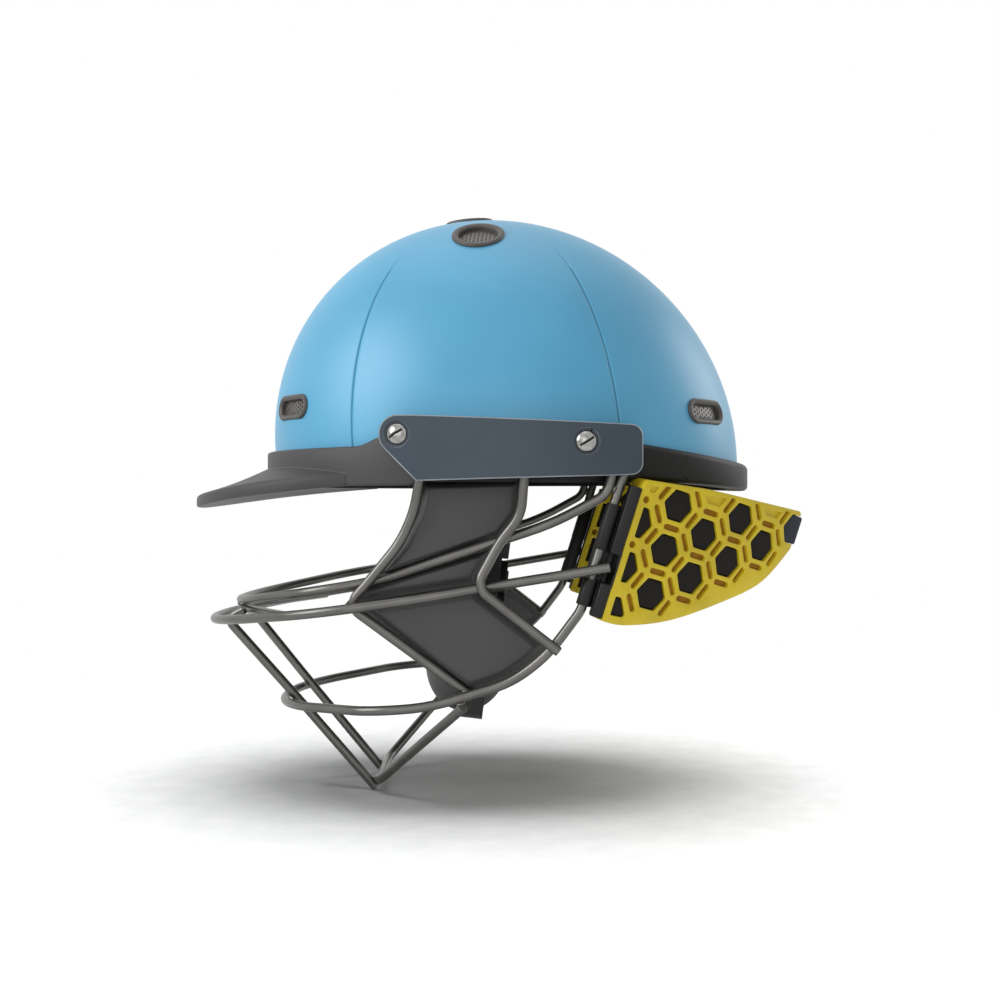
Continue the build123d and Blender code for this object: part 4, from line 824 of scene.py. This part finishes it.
def onShell(frameAxes, x, y, grow):
    # Point over a place in a vent's flat outline, grow outside the shell's face.
    origin, level, rise, out = frameAxes
    start = origin + level * x + rise * y
    low, high, halvings = -30.0, 12.0, 26
    for step in range(halvings):
        middle = (low + high) / 2
        spot = start + out * middle
        lift = spot.z - shell["centre"]
        inside = (((spot.x - shell["lean"] * lift) / shell["halfLength"]) ** 2
                  + (spot.y / shell["halfWidth"]) ** 2 + (lift / shell["halfHeight"]) ** 2) < 1
        low, high = (middle, high) if inside else (low, middle)
    return (start + out * (low + grow)) * mm


def ventOutline(group, inset, count):
    if group != "crown":
        length, height = ventSize["length"] - 2 * inset, ventSize["height"] - 2 * inset
        return slotShape((0, 0), 0, length, height, count // 2 - 1)
    radius = ventSize["roundOuter"] / 2 - inset
    turns = [2 * math.pi * k / count for k in range(count)]
    return [(radius * math.cos(turn), radius * math.sin(turn)) for turn in turns]


def buildVentFrames(group):
    mesh = bmesh.new()
    bore, proud, deep = ventBore(group), ventSize["proud"], ventSize["clear"] - shell["wall"]
    # Inset from the outer edge and height over the shell, round the ring's section.
    section = [
        (0.0, 0.02), (0.0, proud * 0.45), (0.25, proud * 0.8), (0.8, proud * 0.98), (bore * 0.5, proud * 0.92),
        (bore - 0.7, proud * 0.62), (bore - 0.15, proud * 0.3), (bore, -0.3), (bore, deep),
        (bore - ventSize["collar"], deep), (bore - ventSize["collar"], 0.02)]
    for turn in vents[group]:
        axes = ventFrame(turn)
        rings = [[mesh.verts.new(onShell(axes, x, y, grow))
                  for x, y in ventOutline(group, inset, ventSize["frameCount"])] for inset, grow in section]
        skinRings(mesh, rings + rings[:1], False)
    return makePiece(group + "VentFrames", mesh, ["ventPlastic"], "helmet",
                     [group + "_vent_frames"], sharp=35)


def buildVentNets(group):
    # Thin sheet with staggered diamond holes, bent to the shell.
    mesh = bmesh.new()
    pitch, hole = ventSize["pitch"], ventSize["hole"]
    rise, holeRise = pitch * ventSize["rise"], hole * ventSize["holeRise"]
    outline, limit = (ventOutline(group, ventBore(group) + ventSize[gap], ventSize["netCount"])
                      for gap in ("netGap", "netEdge"))
    columns = int(max(p[0] for p in outline) / pitch) + 1
    lines = int(2 * max(p[1] for p in outline) / pitch) + 1
    holes = []
    for i in range(-columns, columns + 1):
        for j in range(-lines, lines + 1):
            x, y = i * pitch, (j + i % 2 / 2) * rise
            if insideShape((x, y), limit):
                holes.append([(x + hole, y), (x, y + holeRise), (x - hole, y), (x, y - holeRise)])
    corners, faces = fillBetween(outline, holes)
    for turn in vents[group]:
        axes = ventFrame(turn)
        front, back = ([mesh.verts.new(onShell(axes, p.x, p.y, -depth)) for p in corners]
                       for depth in (ventSize["netDepth"], ventSize["netDepth"] + ventSize["netWall"]))
        addSheet(mesh, faces, front, back)
        for shape in [outline] + holes:
            addWall(mesh, shape, corners, front, back)
    return makePiece(group + "VentNets", mesh, ["netMetal"], "helmet", [group + "_vent_nets"],
                     sharp=35)


def cutVents(piece):
    # Openings through the shell under each frame.
    mesh = bmesh.new()
    for group, turn in [(group, turn) for group, turns in vents.items() for turn in turns]:
        origin, level, rise, out = ventFrame(turn)
        outline = ventOutline(group, ventBore(group) - ventSize["cut"], ventSize["cutCount"])
        skinRings(mesh, [[mesh.verts.new((origin + level * x + rise * y + out * place) * mm) for x, y in outline]
                         for place in (-ventSize["cutIn"], ventSize["cutOut"])])
    joinVerts(mesh, joinGap["cutter"])
    cutter = newObject("ventCutter", mesh)
    opening = piece.modifiers.new("opening", "BOOLEAN")
    opening.operation = "DIFFERENCE"
    opening.solver = "EXACT"
    opening.object = cutter
    result = shapeNow(piece)
    piece.modifiers.clear()
    piece.data = result
    bpy.data.objects.remove(cutter)


cutVents(shellPiece)
for group in vents:
    buildVentFrames(group)
    buildVentNets(group)
print("vents made")


# Peak: a band that wraps the front of the rim, and a brim lofted from it
peak = {
    "proudFront": 4.4, "proudSide": 2.5, "lip": 6.0, "bottom": 3.4, "joinTurn": -90.3, "steps": 150,
    "front": -136.0, "topFront": 22.6, "topMiddle": 23.4, "topHigh": 29.0, "stepStart": -78.0,
    "stepLength": 18.0, "liftStart": -47.0, "liftLength": 4.0, "lift": 5.8, "skin": 0.35, "rimGap": 0.2,
    "least": 0.05, "edgeRound": 1.3, "bend": 0.3}
brim = {
    "end": 82.6, "tip": 176.0, "side": 86.5, "corner": 62.0, "cornerSide": 0.72, "topEnd": 9.7,
    "topTip": -2.3, "droop": 0.38, "droopPower": 2.6, "crestEnd": 9.9, "crestFront": 14.0,
    "crestSpread": 1.7, "crestPower": 0.7, "wallEnd": 6.6, "wallTip": 6.2, "rootSink": 1.2,
    "rootProud": 3.8, "rootSpan": 4.0, "nose": 1.6, "leastReach": 6.0, "hollow": 1.1, "hollowReach": 30.0,
    "floor": 0.3, "arch": 0.5, "steps": 96, "topSteps": 6, "lowSteps": 5,
    "noseTop": [(0.45, 0.35), (0.0, 1.5)], "noseLow": [(0.0, 1.2), (0.4, 0.3), (1.6, 0.0)]}


def bandPoint(turn, height, grow=0.0):
    # Point on the band's outer ellipse, or grow outside it.
    share = abs(math.cos(turn))
    proud = peak["proudSide"] + (peak["proudFront"] - peak["proudSide"]) * share
    x = (shell["halfLength"] + proud + grow) * math.cos(turn)
    y = (shell["halfWidth"] + proud + grow) * math.sin(turn)
    return Vector((x, y, height))


def bandTop(x):
    # The band's top edge climbs in a soft step just ahead of the side plate.
    if x < peak["stepStart"]:
        share = (x - peak["front"]) / (peak["stepStart"] - peak["front"])
        return peak["topFront"] + (peak["topMiddle"] - peak["topFront"]) * share
    share = min(1.0, (x - peak["stepStart"]) / peak["stepLength"])
    return peak["topMiddle"] + (peak["topHigh"] - peak["topMiddle"]) * share * share * (3 - 2 * share)


def buildBand():
    mesh = bmesh.new()
    columns = []
    soft, bend, seat = peak["edgeRound"], peak["edgeRound"] * peak["bend"], shell["rim"] - peak["rimGap"]
    for i in range(peak["steps"] + 1):
        turn = math.radians(-peak["joinTurn"] + (360 + 2 * peak["joinTurn"]) * i / peak["steps"])
        x = bandPoint(turn, 0).x
        top = bandTop(x)
        bottom = peak["bottom"] + peak["lift"] * min(1.0, max(0.0, (x - peak["liftStart"]) / peak["liftLength"]))
        under = domePoint(turn, seat, peak["skin"]) / mm
        lipX = (shell["halfLength"] - peak["lip"]) * math.cos(turn)
        lipY = (shell["halfWidth"] - peak["lip"]) * math.sin(turn)
        column = [
            domePoint(turn, top, peak["skin"]) / mm, bandPoint(turn, top, -soft),
            bandPoint(turn, top - bend, -bend), bandPoint(turn, top - soft), bandPoint(turn, (top + bottom) / 2),
            bandPoint(turn, bottom + soft), bandPoint(turn, bottom + bend, -bend), bandPoint(turn, bottom, -soft),
            Vector((lipX, lipY, bottom)), Vector((lipX, lipY, max(bottom, seat))),
            Vector((under.x, under.y, max(bottom + peak["least"], seat)))]
        columns.append([mesh.verts.new(spot * mm) for spot in column])
    skinRings(mesh, columns)
    return mesh


def brimEdge(share):
    # Outer edge of the brim in plan, from its near end round the tip to its far end.
    if share > 0.5:
        spot = brimEdge(1 - share)
        return Vector((spot.x, -spot.y))
    t = share * 2
    end, tip, side = brim["end"], brim["tip"], brim["side"]
    corners = [(-end, -side), (brim["corner"] - tip, -side), (-tip, -side * brim["cornerSide"]), (-tip, 0)]
    weights = [(1 - t) ** 3, 3 * t * (1 - t) ** 2, 3 * t * t * (1 - t), t**3]
    return Vector([sum(w * corner[axis] for w, corner in zip(weights, corners)) for axis in (0, 1)])


def mix(low, high, share):
    return low + (high - low) * share


def addBrim(mesh):
    columns = []
    endTurn = math.acos(-brim["end"] / (shell["halfLength"] + brim["rootProud"]))
    rootLength = shell["halfLength"] + brim["rootSpan"] - brim["end"]
    floor = peak["bottom"] + brim["floor"]
    up = Vector((0, 0, 1))
    for i in range(brim["steps"] + 1):
        share = i / brim["steps"]
        edge = brimEdge(share).to_3d()
        root = bandPoint(-mix(endTurn, 2 * math.pi - endTurn, share), 0, -brim["rootSink"])
        forward = max(0.0, (-edge.x - brim["end"]) / (brim["tip"] - brim["end"]))
        along = min(1.0, max(0.0, (-root.x - brim["end"]) / rootLength) * brim["crestSpread"])
        droop = mix(forward, forward ** brim["droopPower"], brim["droop"])
        top = mix(brim["topEnd"], brim["topTip"], droop)
        crest = mix(brim["crestEnd"], brim["crestFront"], along ** brim["crestPower"])
        bottom = top - mix(brim["wallEnd"], brim["wallTip"], forward)
        reach = (edge - root).length
        out = (edge - root).normalized()
        column = []
        for k in range(brim["topSteps"] + 1):
            s = k / brim["topSteps"] * (1 - brim["nose"] / max(reach, brim["leastReach"]))
            hollow = brim["hollow"] * math.sin(math.pi * s) * min(1.0, reach / brim["hollowReach"])
            column.append(root + out * reach * s + up * (mix(crest, top, s) - hollow))
        column += [edge - out * back + up * (top - drop) for back, drop in brim["noseTop"]]
        column += [edge - out * back + up * (bottom + rise) for back, rise in brim["noseLow"]]
        for k in range(1, brim["lowSteps"] + 1):
            s = 1 - k / brim["lowSteps"]
            arch = brim["arch"] * math.sin(math.pi * s)
            column.append(root + out * max(0.0, reach - brim["nose"]) * s + up * (mix(floor, bottom, s) + arch))
        columns.append([mesh.verts.new(spot * mm) for spot in column])
    skinRings(mesh, columns)


bandMesh = buildBand()
addBrim(bandMesh)
makePiece("peakBand", bandMesh, ["peakPlastic"], "helmet", ["peak"], sharp=50)
print("peak made")

# Cheek panels with a broad soft edge and a lip that grips the bars from behind, and the rail's web
railStrip = {"run": (-1.0, -0.05), "height": (-17.5, 0.5), "depth": (-0.3, 8.2)}
panelLip = {
    "start": 89.4, "end": 87.7, "width": 4.6, "rearWidth": 7.2, "rearPlace": 6.0, "soft": 0.5, "flat": 0.05}


def addStrip(mesh):
    # Thin web of the rail that covers the honeycomb's front edge in the rail's window.
    mesh.verts.ensure_lookup_table()
    side = 1 if mesh.verts[0].co.y < 0 else -1
    for vert in bmesh.ops.create_cube(mesh, size=1.0)["verts"]:
        spot = [mix(low, high, place + 0.5) for (low, high), place in zip(railStrip.values(), vert.co)]
        vert.co = guardPoint(*spot, side)


def addLip(mesh):
    # A flange round the panel's inner face that reaches behind the bars.
    mesh.verts.ensure_lookup_table()
    side = 1 if mesh.verts[0].co.y > 0 else -1
    inner = min(abs(vert.co.y) for vert in mesh.verts)
    cap = {vert for vert in mesh.verts if abs(vert.co.y) < inner + panelLip["flat"] * mm}
    faces = [face for face in mesh.faces if all(vert in cap for vert in face.verts)]
    rim = [edge for edge in mesh.edges if sum(face in faces for face in edge.link_faces) == 1]
    chain = list(rim[0].verts)
    left = set(rim[1:])
    step = rim[0]
    while step:
        left.discard(step)
        step = next((edge for edge in left if chain[-1] in edge.verts), None)
        if step:
            chain.append(step.other_vert(chain[-1]))
    outline = tidyShape([(vert.co.x / mm, vert.co.z / mm) for vert in chain[:-1]])
    if shapeArea(outline) < 0:
        outline.reverse()
    widths = []
    for p, q in sides(outline):
        rear = min(p[0], q[0]) > panelLip["rearPlace"] and q[0] < p[0] and q[1] > p[1]
        widths.append(-panelLip["rearWidth" if rear else "width"])
    wide = insetShape(outline, widths)
    for vert in cap:
        vert.co.y = side * panelLip["end"] * mm
    start, end, soft = panelLip["start"], panelLip["end"], panelLip["soft"]
    section = [(start, soft), (start - soft, 0.0), (end + soft, 0.0), (end - panelLip["flat"], soft)]
    skinRings(mesh, [[mesh.verts.new(Vector((x, side * place, z)) * mm) for x, z in insetShape(wide, inset)]
                     for place, inset in section])


plateBow = {
    "middle": 2.0, "centre": 102.0, "radius": 216.0, "chamfer": (25, 70), "depth": 1.2, "skin": 0.05,
    "faceTilt": 15, "screws": ((-55.0, 29.0), (39.4, 25.0)), "screwClear": 8.6}


def bowOut(spot):
    # From the axis that a side plate is bent round to a place on the plate.
    side = 1 if spot.y > 0 else -1
    return Vector((spot.x / mm - plateBow["middle"], spot.y / mm + side * plateBow["centre"], 0))


def bowTilt(face):
    # Degrees between a face and the bow under it.
    return math.degrees(face.normal.angle(bowOut(face.calc_center_median()), 0))


def paintChamferHighlight(mesh):
    # The chamfer round the plate's outer face takes the pale finish, a painted highlight.
    low, high = plateBow["chamfer"]
    mesh.normal_update()
    for face in mesh.faces:
        spot = face.calc_center_median()
        nearScrew = any(math.hypot(spot.x / mm - x, spot.z / mm - z) < plateBow["screwClear"]
                        for x, z in plateBow["screws"])
        outside = bowOut(spot).length > plateBow["radius"] - plateBow["depth"]
        if low < bowTilt(face) < high and outside and not nearScrew:
            face.material_index = 1


def bowNormals(piece):
    # Shades the plate's outer face as the true cylinder it is cut from.
    mesh = piece.data
    normals = [corner.vector.copy() for corner in mesh.corner_normals]
    for face in mesh.polygons:
        for i in face.loop_indices:
            out = bowOut(mesh.vertices[mesh.loops[i].vertex_index].co)
            flat = face.normal.angle(out, 0) < math.radians(plateBow["faceTilt"])
            if out.length > plateBow["radius"] - plateBow["skin"] and flat:
                normals[i] = out.normalized()
    mesh.normals_split_custom_set(normals)


for label in ("left", "right"):
    title = label.title()
    for level in ("upper", "middle", "lower"):
        softenNode("cheek_panel_" + level + "_" + label, ["panelPlastic"], "helmet", width=1.0,
                   segments=3, angle=25, change=addLip, pieceName=level + "CheekPanel" + title)
    plate = softenNode("side_plate_" + label, ["platePlastic", "plateEdge"], "helmet",
                       width=0.12, angle=30, change=paintChamferHighlight, clean=0.05)
    bowNormals(plate)
    softenNode("grille_carrier_" + label, ["coatedSteel"], "helmet", width=0.4)
    softenNode("neck_guard_rail_" + label, ["clipPlastic"], "neck_guard_" + label, width=0.5,
               angle=25, change=addStrip, pieceName="guardRail" + title)
    softenNode("neck_guard_clip_" + label, ["clipPlastic"], "neck_guard_" + label, width=0.25,
               pieceName="guardClip" + title)
for nodeName, pieceName, body, width in (
        ("buckle_socket", None, "chin_strap", 0.8), ("buckle_plug", None, "chin_strap", 0.5),
        ("buckle_prong_front", "prongFront", "buckle_prong_front_body", 0.5),
        ("buckle_prong_rear", "prongRear", "buckle_prong_rear_body", 0.5),
        ("strap_slides", None, "chin_strap", 0.4), ("strap_hangers", None, "chin_strap", 0.35)):
    softenNode(nodeName, ["nylonPlastic"], body, width, pieceName=pieceName)


rim = {"halfLength": 137.8, "halfWidth": 107.5, "level": 0.97, "start": 66.0, "sliver": 0.2}


def roundRim(edge):
    # The outer edges of the rear rim, past the side plates.
    return all((vert.co.x / mm / rim["halfLength"]) ** 2 + (vert.co.y / mm / rim["halfWidth"]) ** 2 > rim["level"]
               and vert.co.x > rim["start"] * mm for vert in edge.verts)


def joinRim(mesh):
    # Joins the slivers left where the rounding meets a short edge.
    joinVerts(mesh, rim["sliver"])


softenNode("rear_rim_trim", ["trimPlastic"], "helmet", width=2.7, segments=4, angle=50,
           limit=roundRim, change=joinRim)


screwSlot = {
    "wallTilt": (80, 100), "wallRise": 0.85, "slack": 0.03, "floorTilt": 3, "floorArea": 4.0}


def paintSlotShade(mesh):
    # Painted shade darkens the walls and the floor of each screw's slot.
    low, high = screwSlot["wallTilt"]
    mesh.normal_update()
    for face in mesh.faces:
        tilt = bowTilt(face)
        isWall = low < tilt < high and abs(abs(face.normal.z) - screwSlot["wallRise"]) < screwSlot["slack"]
        isFloor = tilt < screwSlot["floorTilt"] and face.calc_area() > screwSlot["floorArea"] * mm**2
        if isWall or isFloor:
            face.material_index = 1


softenNode("plate_screws", ["brightSteel", "slotSteel"], "helmet", width=0.06, change=paintSlotShade)
print("plates, panels and small parts made")


cup = {"widen": 1.13, "shift": 0.8}


def widenCup(mesh):
    # The soft cup bulges past the strap that carries it.
    middle = sum(vert.co.x for vert in mesh.verts) / len(mesh.verts)
    for vert in mesh.verts:
        vert.co.x = middle + (vert.co.x - middle) * cup["widen"] + cup["shift"] * mm


softenNode("chin_cup", ["cupPlastic"], "chin_strap", width=0.9, segments=3, change=widenCup)
for label in ("left", "right"):
    softenNode("strap_webbing_" + label, ["wovenStrap"], "chin_strap", width=0.3)
liner = softenNode("foam_liner", ["linerFoam"], "helmet", width=1.0, angle=50)
print("strap and liner made")


# Comfort pads: knitted covers over soft foam, swollen by cloth simulation
pad = {
    "grow": -22.2, "inset": 0.9, "voxel": 2.3, "cap": 2.2, "pressure": 4.0, "quality": 6, "frames": 20,
    "settle": 0.35, "plump": 0.6, "fill": 0.8}
padNodes = ["front_comfort_pad", "rear_comfort_pad", "crown_comfort_pad", "side_comfort_pad_left",
            "side_comfort_pad_right"]


def startPad(nodeName):
    mesh = bmesh.new()
    mesh.from_mesh(nodes[nodeName].data)
    bmesh.ops.remove_doubles(mesh, verts=mesh.verts, dist=joinGap["node"] * mm)
    mesh.normal_update()
    for vert, way in [(vert, vert.normal.copy()) for vert in mesh.verts]:
        vert.co -= way * pad["inset"] * mm
    start = newObject(nodeName + "Start", mesh)
    remesh = start.modifiers.new("remesh", "REMESH")
    remesh.mode = "VOXEL"
    remesh.voxel_size = pad["voxel"] * mm
    start.data = shapeNow(start)
    start.modifiers.clear()
    cloth = start.modifiers.new("cloth", "CLOTH")
    cloth.settings.use_pressure = True
    cloth.settings.uniform_pressure_force = pad["pressure"]
    cloth.settings.effector_weights.gravity = 0
    cloth.settings.quality = pad["quality"]
    cloth.collision_settings.use_collision = False
    return start


def finishPad(nodeName, start):
    # Keeps the swelling under its cap and inside the liner, then smooths it.
    homes = [vert.co.copy() for vert in start.data.vertices]
    mesh = bmesh.new()
    mesh.from_mesh(shapeNow(start))
    mesh.verts.ensure_lookup_table()
    reach = [shell[axis] + pad["grow"] for axis in ("halfLength", "halfWidth", "halfHeight")]
    for vert, home in zip(mesh.verts, homes):
        away = vert.co - home
        vert.co = home + away * min(1.0, pad["cap"] * mm / max(away.length, 1e-9))
        lift = vert.co.z / mm - shell["centre"]
        centre = Vector((shell["lean"] * lift, 0, shell["centre"])) * mm
        offset = (vert.co - centre) / mm
        level = math.sqrt(sum((offset[axis] / reach[axis]) ** 2 for axis in range(3)))
        if level > 1:
            vert.co = centre + offset * mm / level
    bmesh.ops.smooth_vert(mesh, verts=mesh.verts, factor=pad["settle"], use_axis_x=True, use_axis_y=True,
                          use_axis_z=True)
    bmesh.ops.subdivide_edges(mesh, edges=mesh.edges, cuts=1, use_grid_fill=True, smooth=pad["plump"])
    bpy.data.objects.remove(start)
    piece = makePiece(pieceNamed(nodeName), mesh, ["padCloth"], "helmet", [nodeName], sharp=0)


starts = {nodeName: startPad(nodeName) for nodeName in padNodes}
for step in range(1, pad["frames"] + 1):
    scene.frame_set(step)
for nodeName, start in starts.items():
    finishPad(nodeName, start)
scene.frame_set(1)
print("comfort pads made")


# Weld beads where the bars of the face guard touch
weld = {
    "search": 2.0, "reach": 0.62, "least": 0.01, "apart": 7.0, "radius": 2.5, "height": 1.15, "step": 1.5,
    "lump": 0.12, "lumpSize": 1.3}


def barSpots(mesh):
    spots = []
    for edge in mesh.edges:
        a, b = (mesh.vertices[i].co for i in edge.vertices)
        count = max(1, int((b - a).length / (weld["step"] * mm)))
        spots += [a.lerp(b, k / count) for k in range(count + 1)]
    return spots


def addBead(mesh, middle, way):
    turn = Vector((0, 0, 1)).rotation_difference(way).to_matrix().to_4x4()
    size = Matrix.Diagonal((weld["radius"] * mm, weld["radius"] * mm, weld["height"] * mm, 1))
    made = bmesh.ops.create_icosphere(mesh, subdivisions=3, radius=1.0,
                                      matrix=Matrix.Translation(middle) @ turn @ size)["verts"]
    for vert in made:
        push = noise.noise(vert.co / (weld["lumpSize"] * mm)) * weld["lump"] * mm
        vert.co += (vert.co - middle).normalized() * push


def buildWelds():
    bars = {name: node.data for name, node in nodes.items()
            if name.startswith("grille_") and "carrier" not in name}
    trees = {name: BVHTree.FromPolygons([vert.co for vert in data.vertices],
                                        [list(face.vertices) for face in data.polygons])
             for name, data in bars.items()}
    mesh = bmesh.new()
    names = list(bars)
    beads = 0
    for i, first in enumerate(names):
        spots = barSpots(bars[first])
        for second in names[i + 1:]:
            near = []
            for spot in spots:
                touch, normal, face, distance = trees[second].find_nearest(spot, weld["search"] * mm)
                if touch is not None and distance < weld["reach"] * mm:
                    near.append((distance, spot, touch))
            kept = []
            for distance, spot, touch in sorted(near, key=lambda item: item[0]):
                middle = (spot + touch) / 2
                if all((middle - other).length > weld["apart"] * mm for other in kept):
                    kept.append(middle)
                    addBead(mesh, middle, (touch - spot).normalized() if distance > weld["least"] * mm
                            else Vector((0, 1, 0)))
            beads += len(kept)
    print("weld beads:", beads)
    return makePiece("weldBeads", mesh, ["coatedSteel"], "helmet", sharp=0)


buildWelds()


# Camera, lights and floor
def aim(obj, target):
    obj.rotation_euler = (Vector(target) - obj.location).to_track_quat("-Z", "Y").to_euler()


view = {"place": (-0.0034, -0.760, -0.004), "lens": 47.448, "sensor": 36.0, "near": 0.05}
camera = bpy.data.objects.new("camera", bpy.data.cameras.new("camera"))
scene.collection.objects.link(camera)
camera.location = view["place"]
camera.rotation_euler = (math.pi / 2, 0, 0)
camera.data.lens = view["lens"]
camera.data.sensor_width = view["sensor"]
camera.data.clip_start = view["near"]
scene.camera = camera

# Lamps: places in metres, and whether a lamp lights the floor alone or all but the floor
lights = {
    "keyLeft": {"place": (-1.3, -0.7, 0.72), "aim": (0, 0, 0.03), "size": 1.0, "power": 15.5, "floor": False},
    "rimRight": {"place": (1.3, 0.55, 0.55), "aim": (0, 0, 0.02), "size": 0.8, "power": 5, "floor": False},
    "topSoft": {"place": (-0.1, 0.1, 1.5), "aim": (0, 0, 0), "size": 1.4, "power": 3.6, "floor": False},
    "frontSoft": {"place": (-0.1, -1.6, 0.25), "aim": (0, 0, -0.03), "size": 1.3, "power": 4, "floor": False},
    "floorTop": {"place": (0.04, -0.05, 1.15), "aim": (0, 0, 0), "size": 1.7, "power": 24, "floor": True},
}
floor = bpy.data.objects.new("floor", bpy.data.meshes.new("floor"))
scene.collection.objects.link(floor)
for name, look in lights.items():
    data = bpy.data.lights.new(name, "AREA")
    data.shape = "DISK"
    data.size = look["size"]
    data.energy = look["power"]
    lamp = bpy.data.objects.new(name, data)
    scene.collection.objects.link(lamp)
    lamp.location = look["place"]
    aim(lamp, look["aim"])
    lit = bpy.data.collections.new(name + "Lit")
    lit.objects.link(floor)
    lamp.light_linking.receiver_collection = lit
    lit.collection_objects[0].light_linking.link_state = "INCLUDE" if look["floor"] else "EXCLUDE"

# Surroundings: a dim studio for the light, clean white wherever the camera or a glossy face looks.
studio = {"colour": (0.86, 0.88, 0.9, 1), "strength": 0.36}
world = bpy.data.worlds.new("studio")
scene.world = world
world.use_nodes = True
worldTree = world.node_tree
worldTree.nodes.clear()
rays = addNode(worldTree, "ShaderNodeLightPath").outputs
dim = addNode(worldTree, "ShaderNodeBackground", {"Color": studio["colour"], "Strength": studio["strength"]})
clean = addNode(worldTree, "ShaderNodeBackground", {"Color": (1, 1, 1, 1), "Strength": 1.0})
seen = addMath(worldTree, "ADD", rays["Is Camera Ray"], rays["Is Glossy Ray"], clamp=True)
seen = addMath(worldTree, "ADD", seen, rays["Is Transmission Ray"], clamp=True)
blend = addNode(worldTree, "ShaderNodeMixShader", {0: seen, 1: dim.outputs[0], 2: clean.outputs[0]})
addNode(worldTree, "ShaderNodeOutputWorld", {"Surface": blend.outputs[0]})

floorLook = {"half": 0.9, "pale": 0.26, "gone": 0.52, "grain": 60.0}


def buildFloor():
    # Pale sheet that fades out round the helmet, and that only its upper side shows.
    material, tree, coords, output = startMaterial("paleFloor")
    place = addNode(tree, "ShaderNodeVectorMath", {0: coords}, operation="LENGTH")
    edge = addNode(tree, "ShaderNodeMapRange", {
        "Value": place.outputs["Value"], "From Min": floorLook["pale"], "From Max": floorLook["gone"],
        "To Min": 1.0, "To Max": 0.0}, interpolation_type="SMOOTHSTEP")
    grain = addNode(tree, "ShaderNodeTexNoise", {"Vector": coords, "Scale": floorLook["grain"]})
    tone = ramp(tree, grain.outputs["Fac"], [(0.3, linear("#f7f7f7")), (0.7, linear("#ffffff"))])
    front = addMath(tree, "SUBTRACT", 1.0, addNode(tree, "ShaderNodeNewGeometry").outputs["Backfacing"])
    seen = addMath(tree, "MULTIPLY", front, edge.outputs["Result"])
    clear = addNode(tree, "ShaderNodeBsdfTransparent")
    matte = addNode(tree, "ShaderNodeBsdfDiffuse", {"Color": tone})
    blend = addNode(tree, "ShaderNodeMixShader", {0: seen, 1: clear.outputs[0], 2: matte.outputs[0]})
    tree.links.new(blend.outputs[0], output.inputs["Surface"])
    mesh = bmesh.new()
    bmesh.ops.create_grid(mesh, x_segments=2, y_segments=2, size=floorLook["half"])
    mesh.to_mesh(floor.data)
    mesh.free()
    floor.data.materials.append(material)
    floor.location = (0.0, 0.0, cadBox[0][2])


buildFloor()
scene.view_settings.view_transform = "Standard"

bpy.context.view_layer.update()
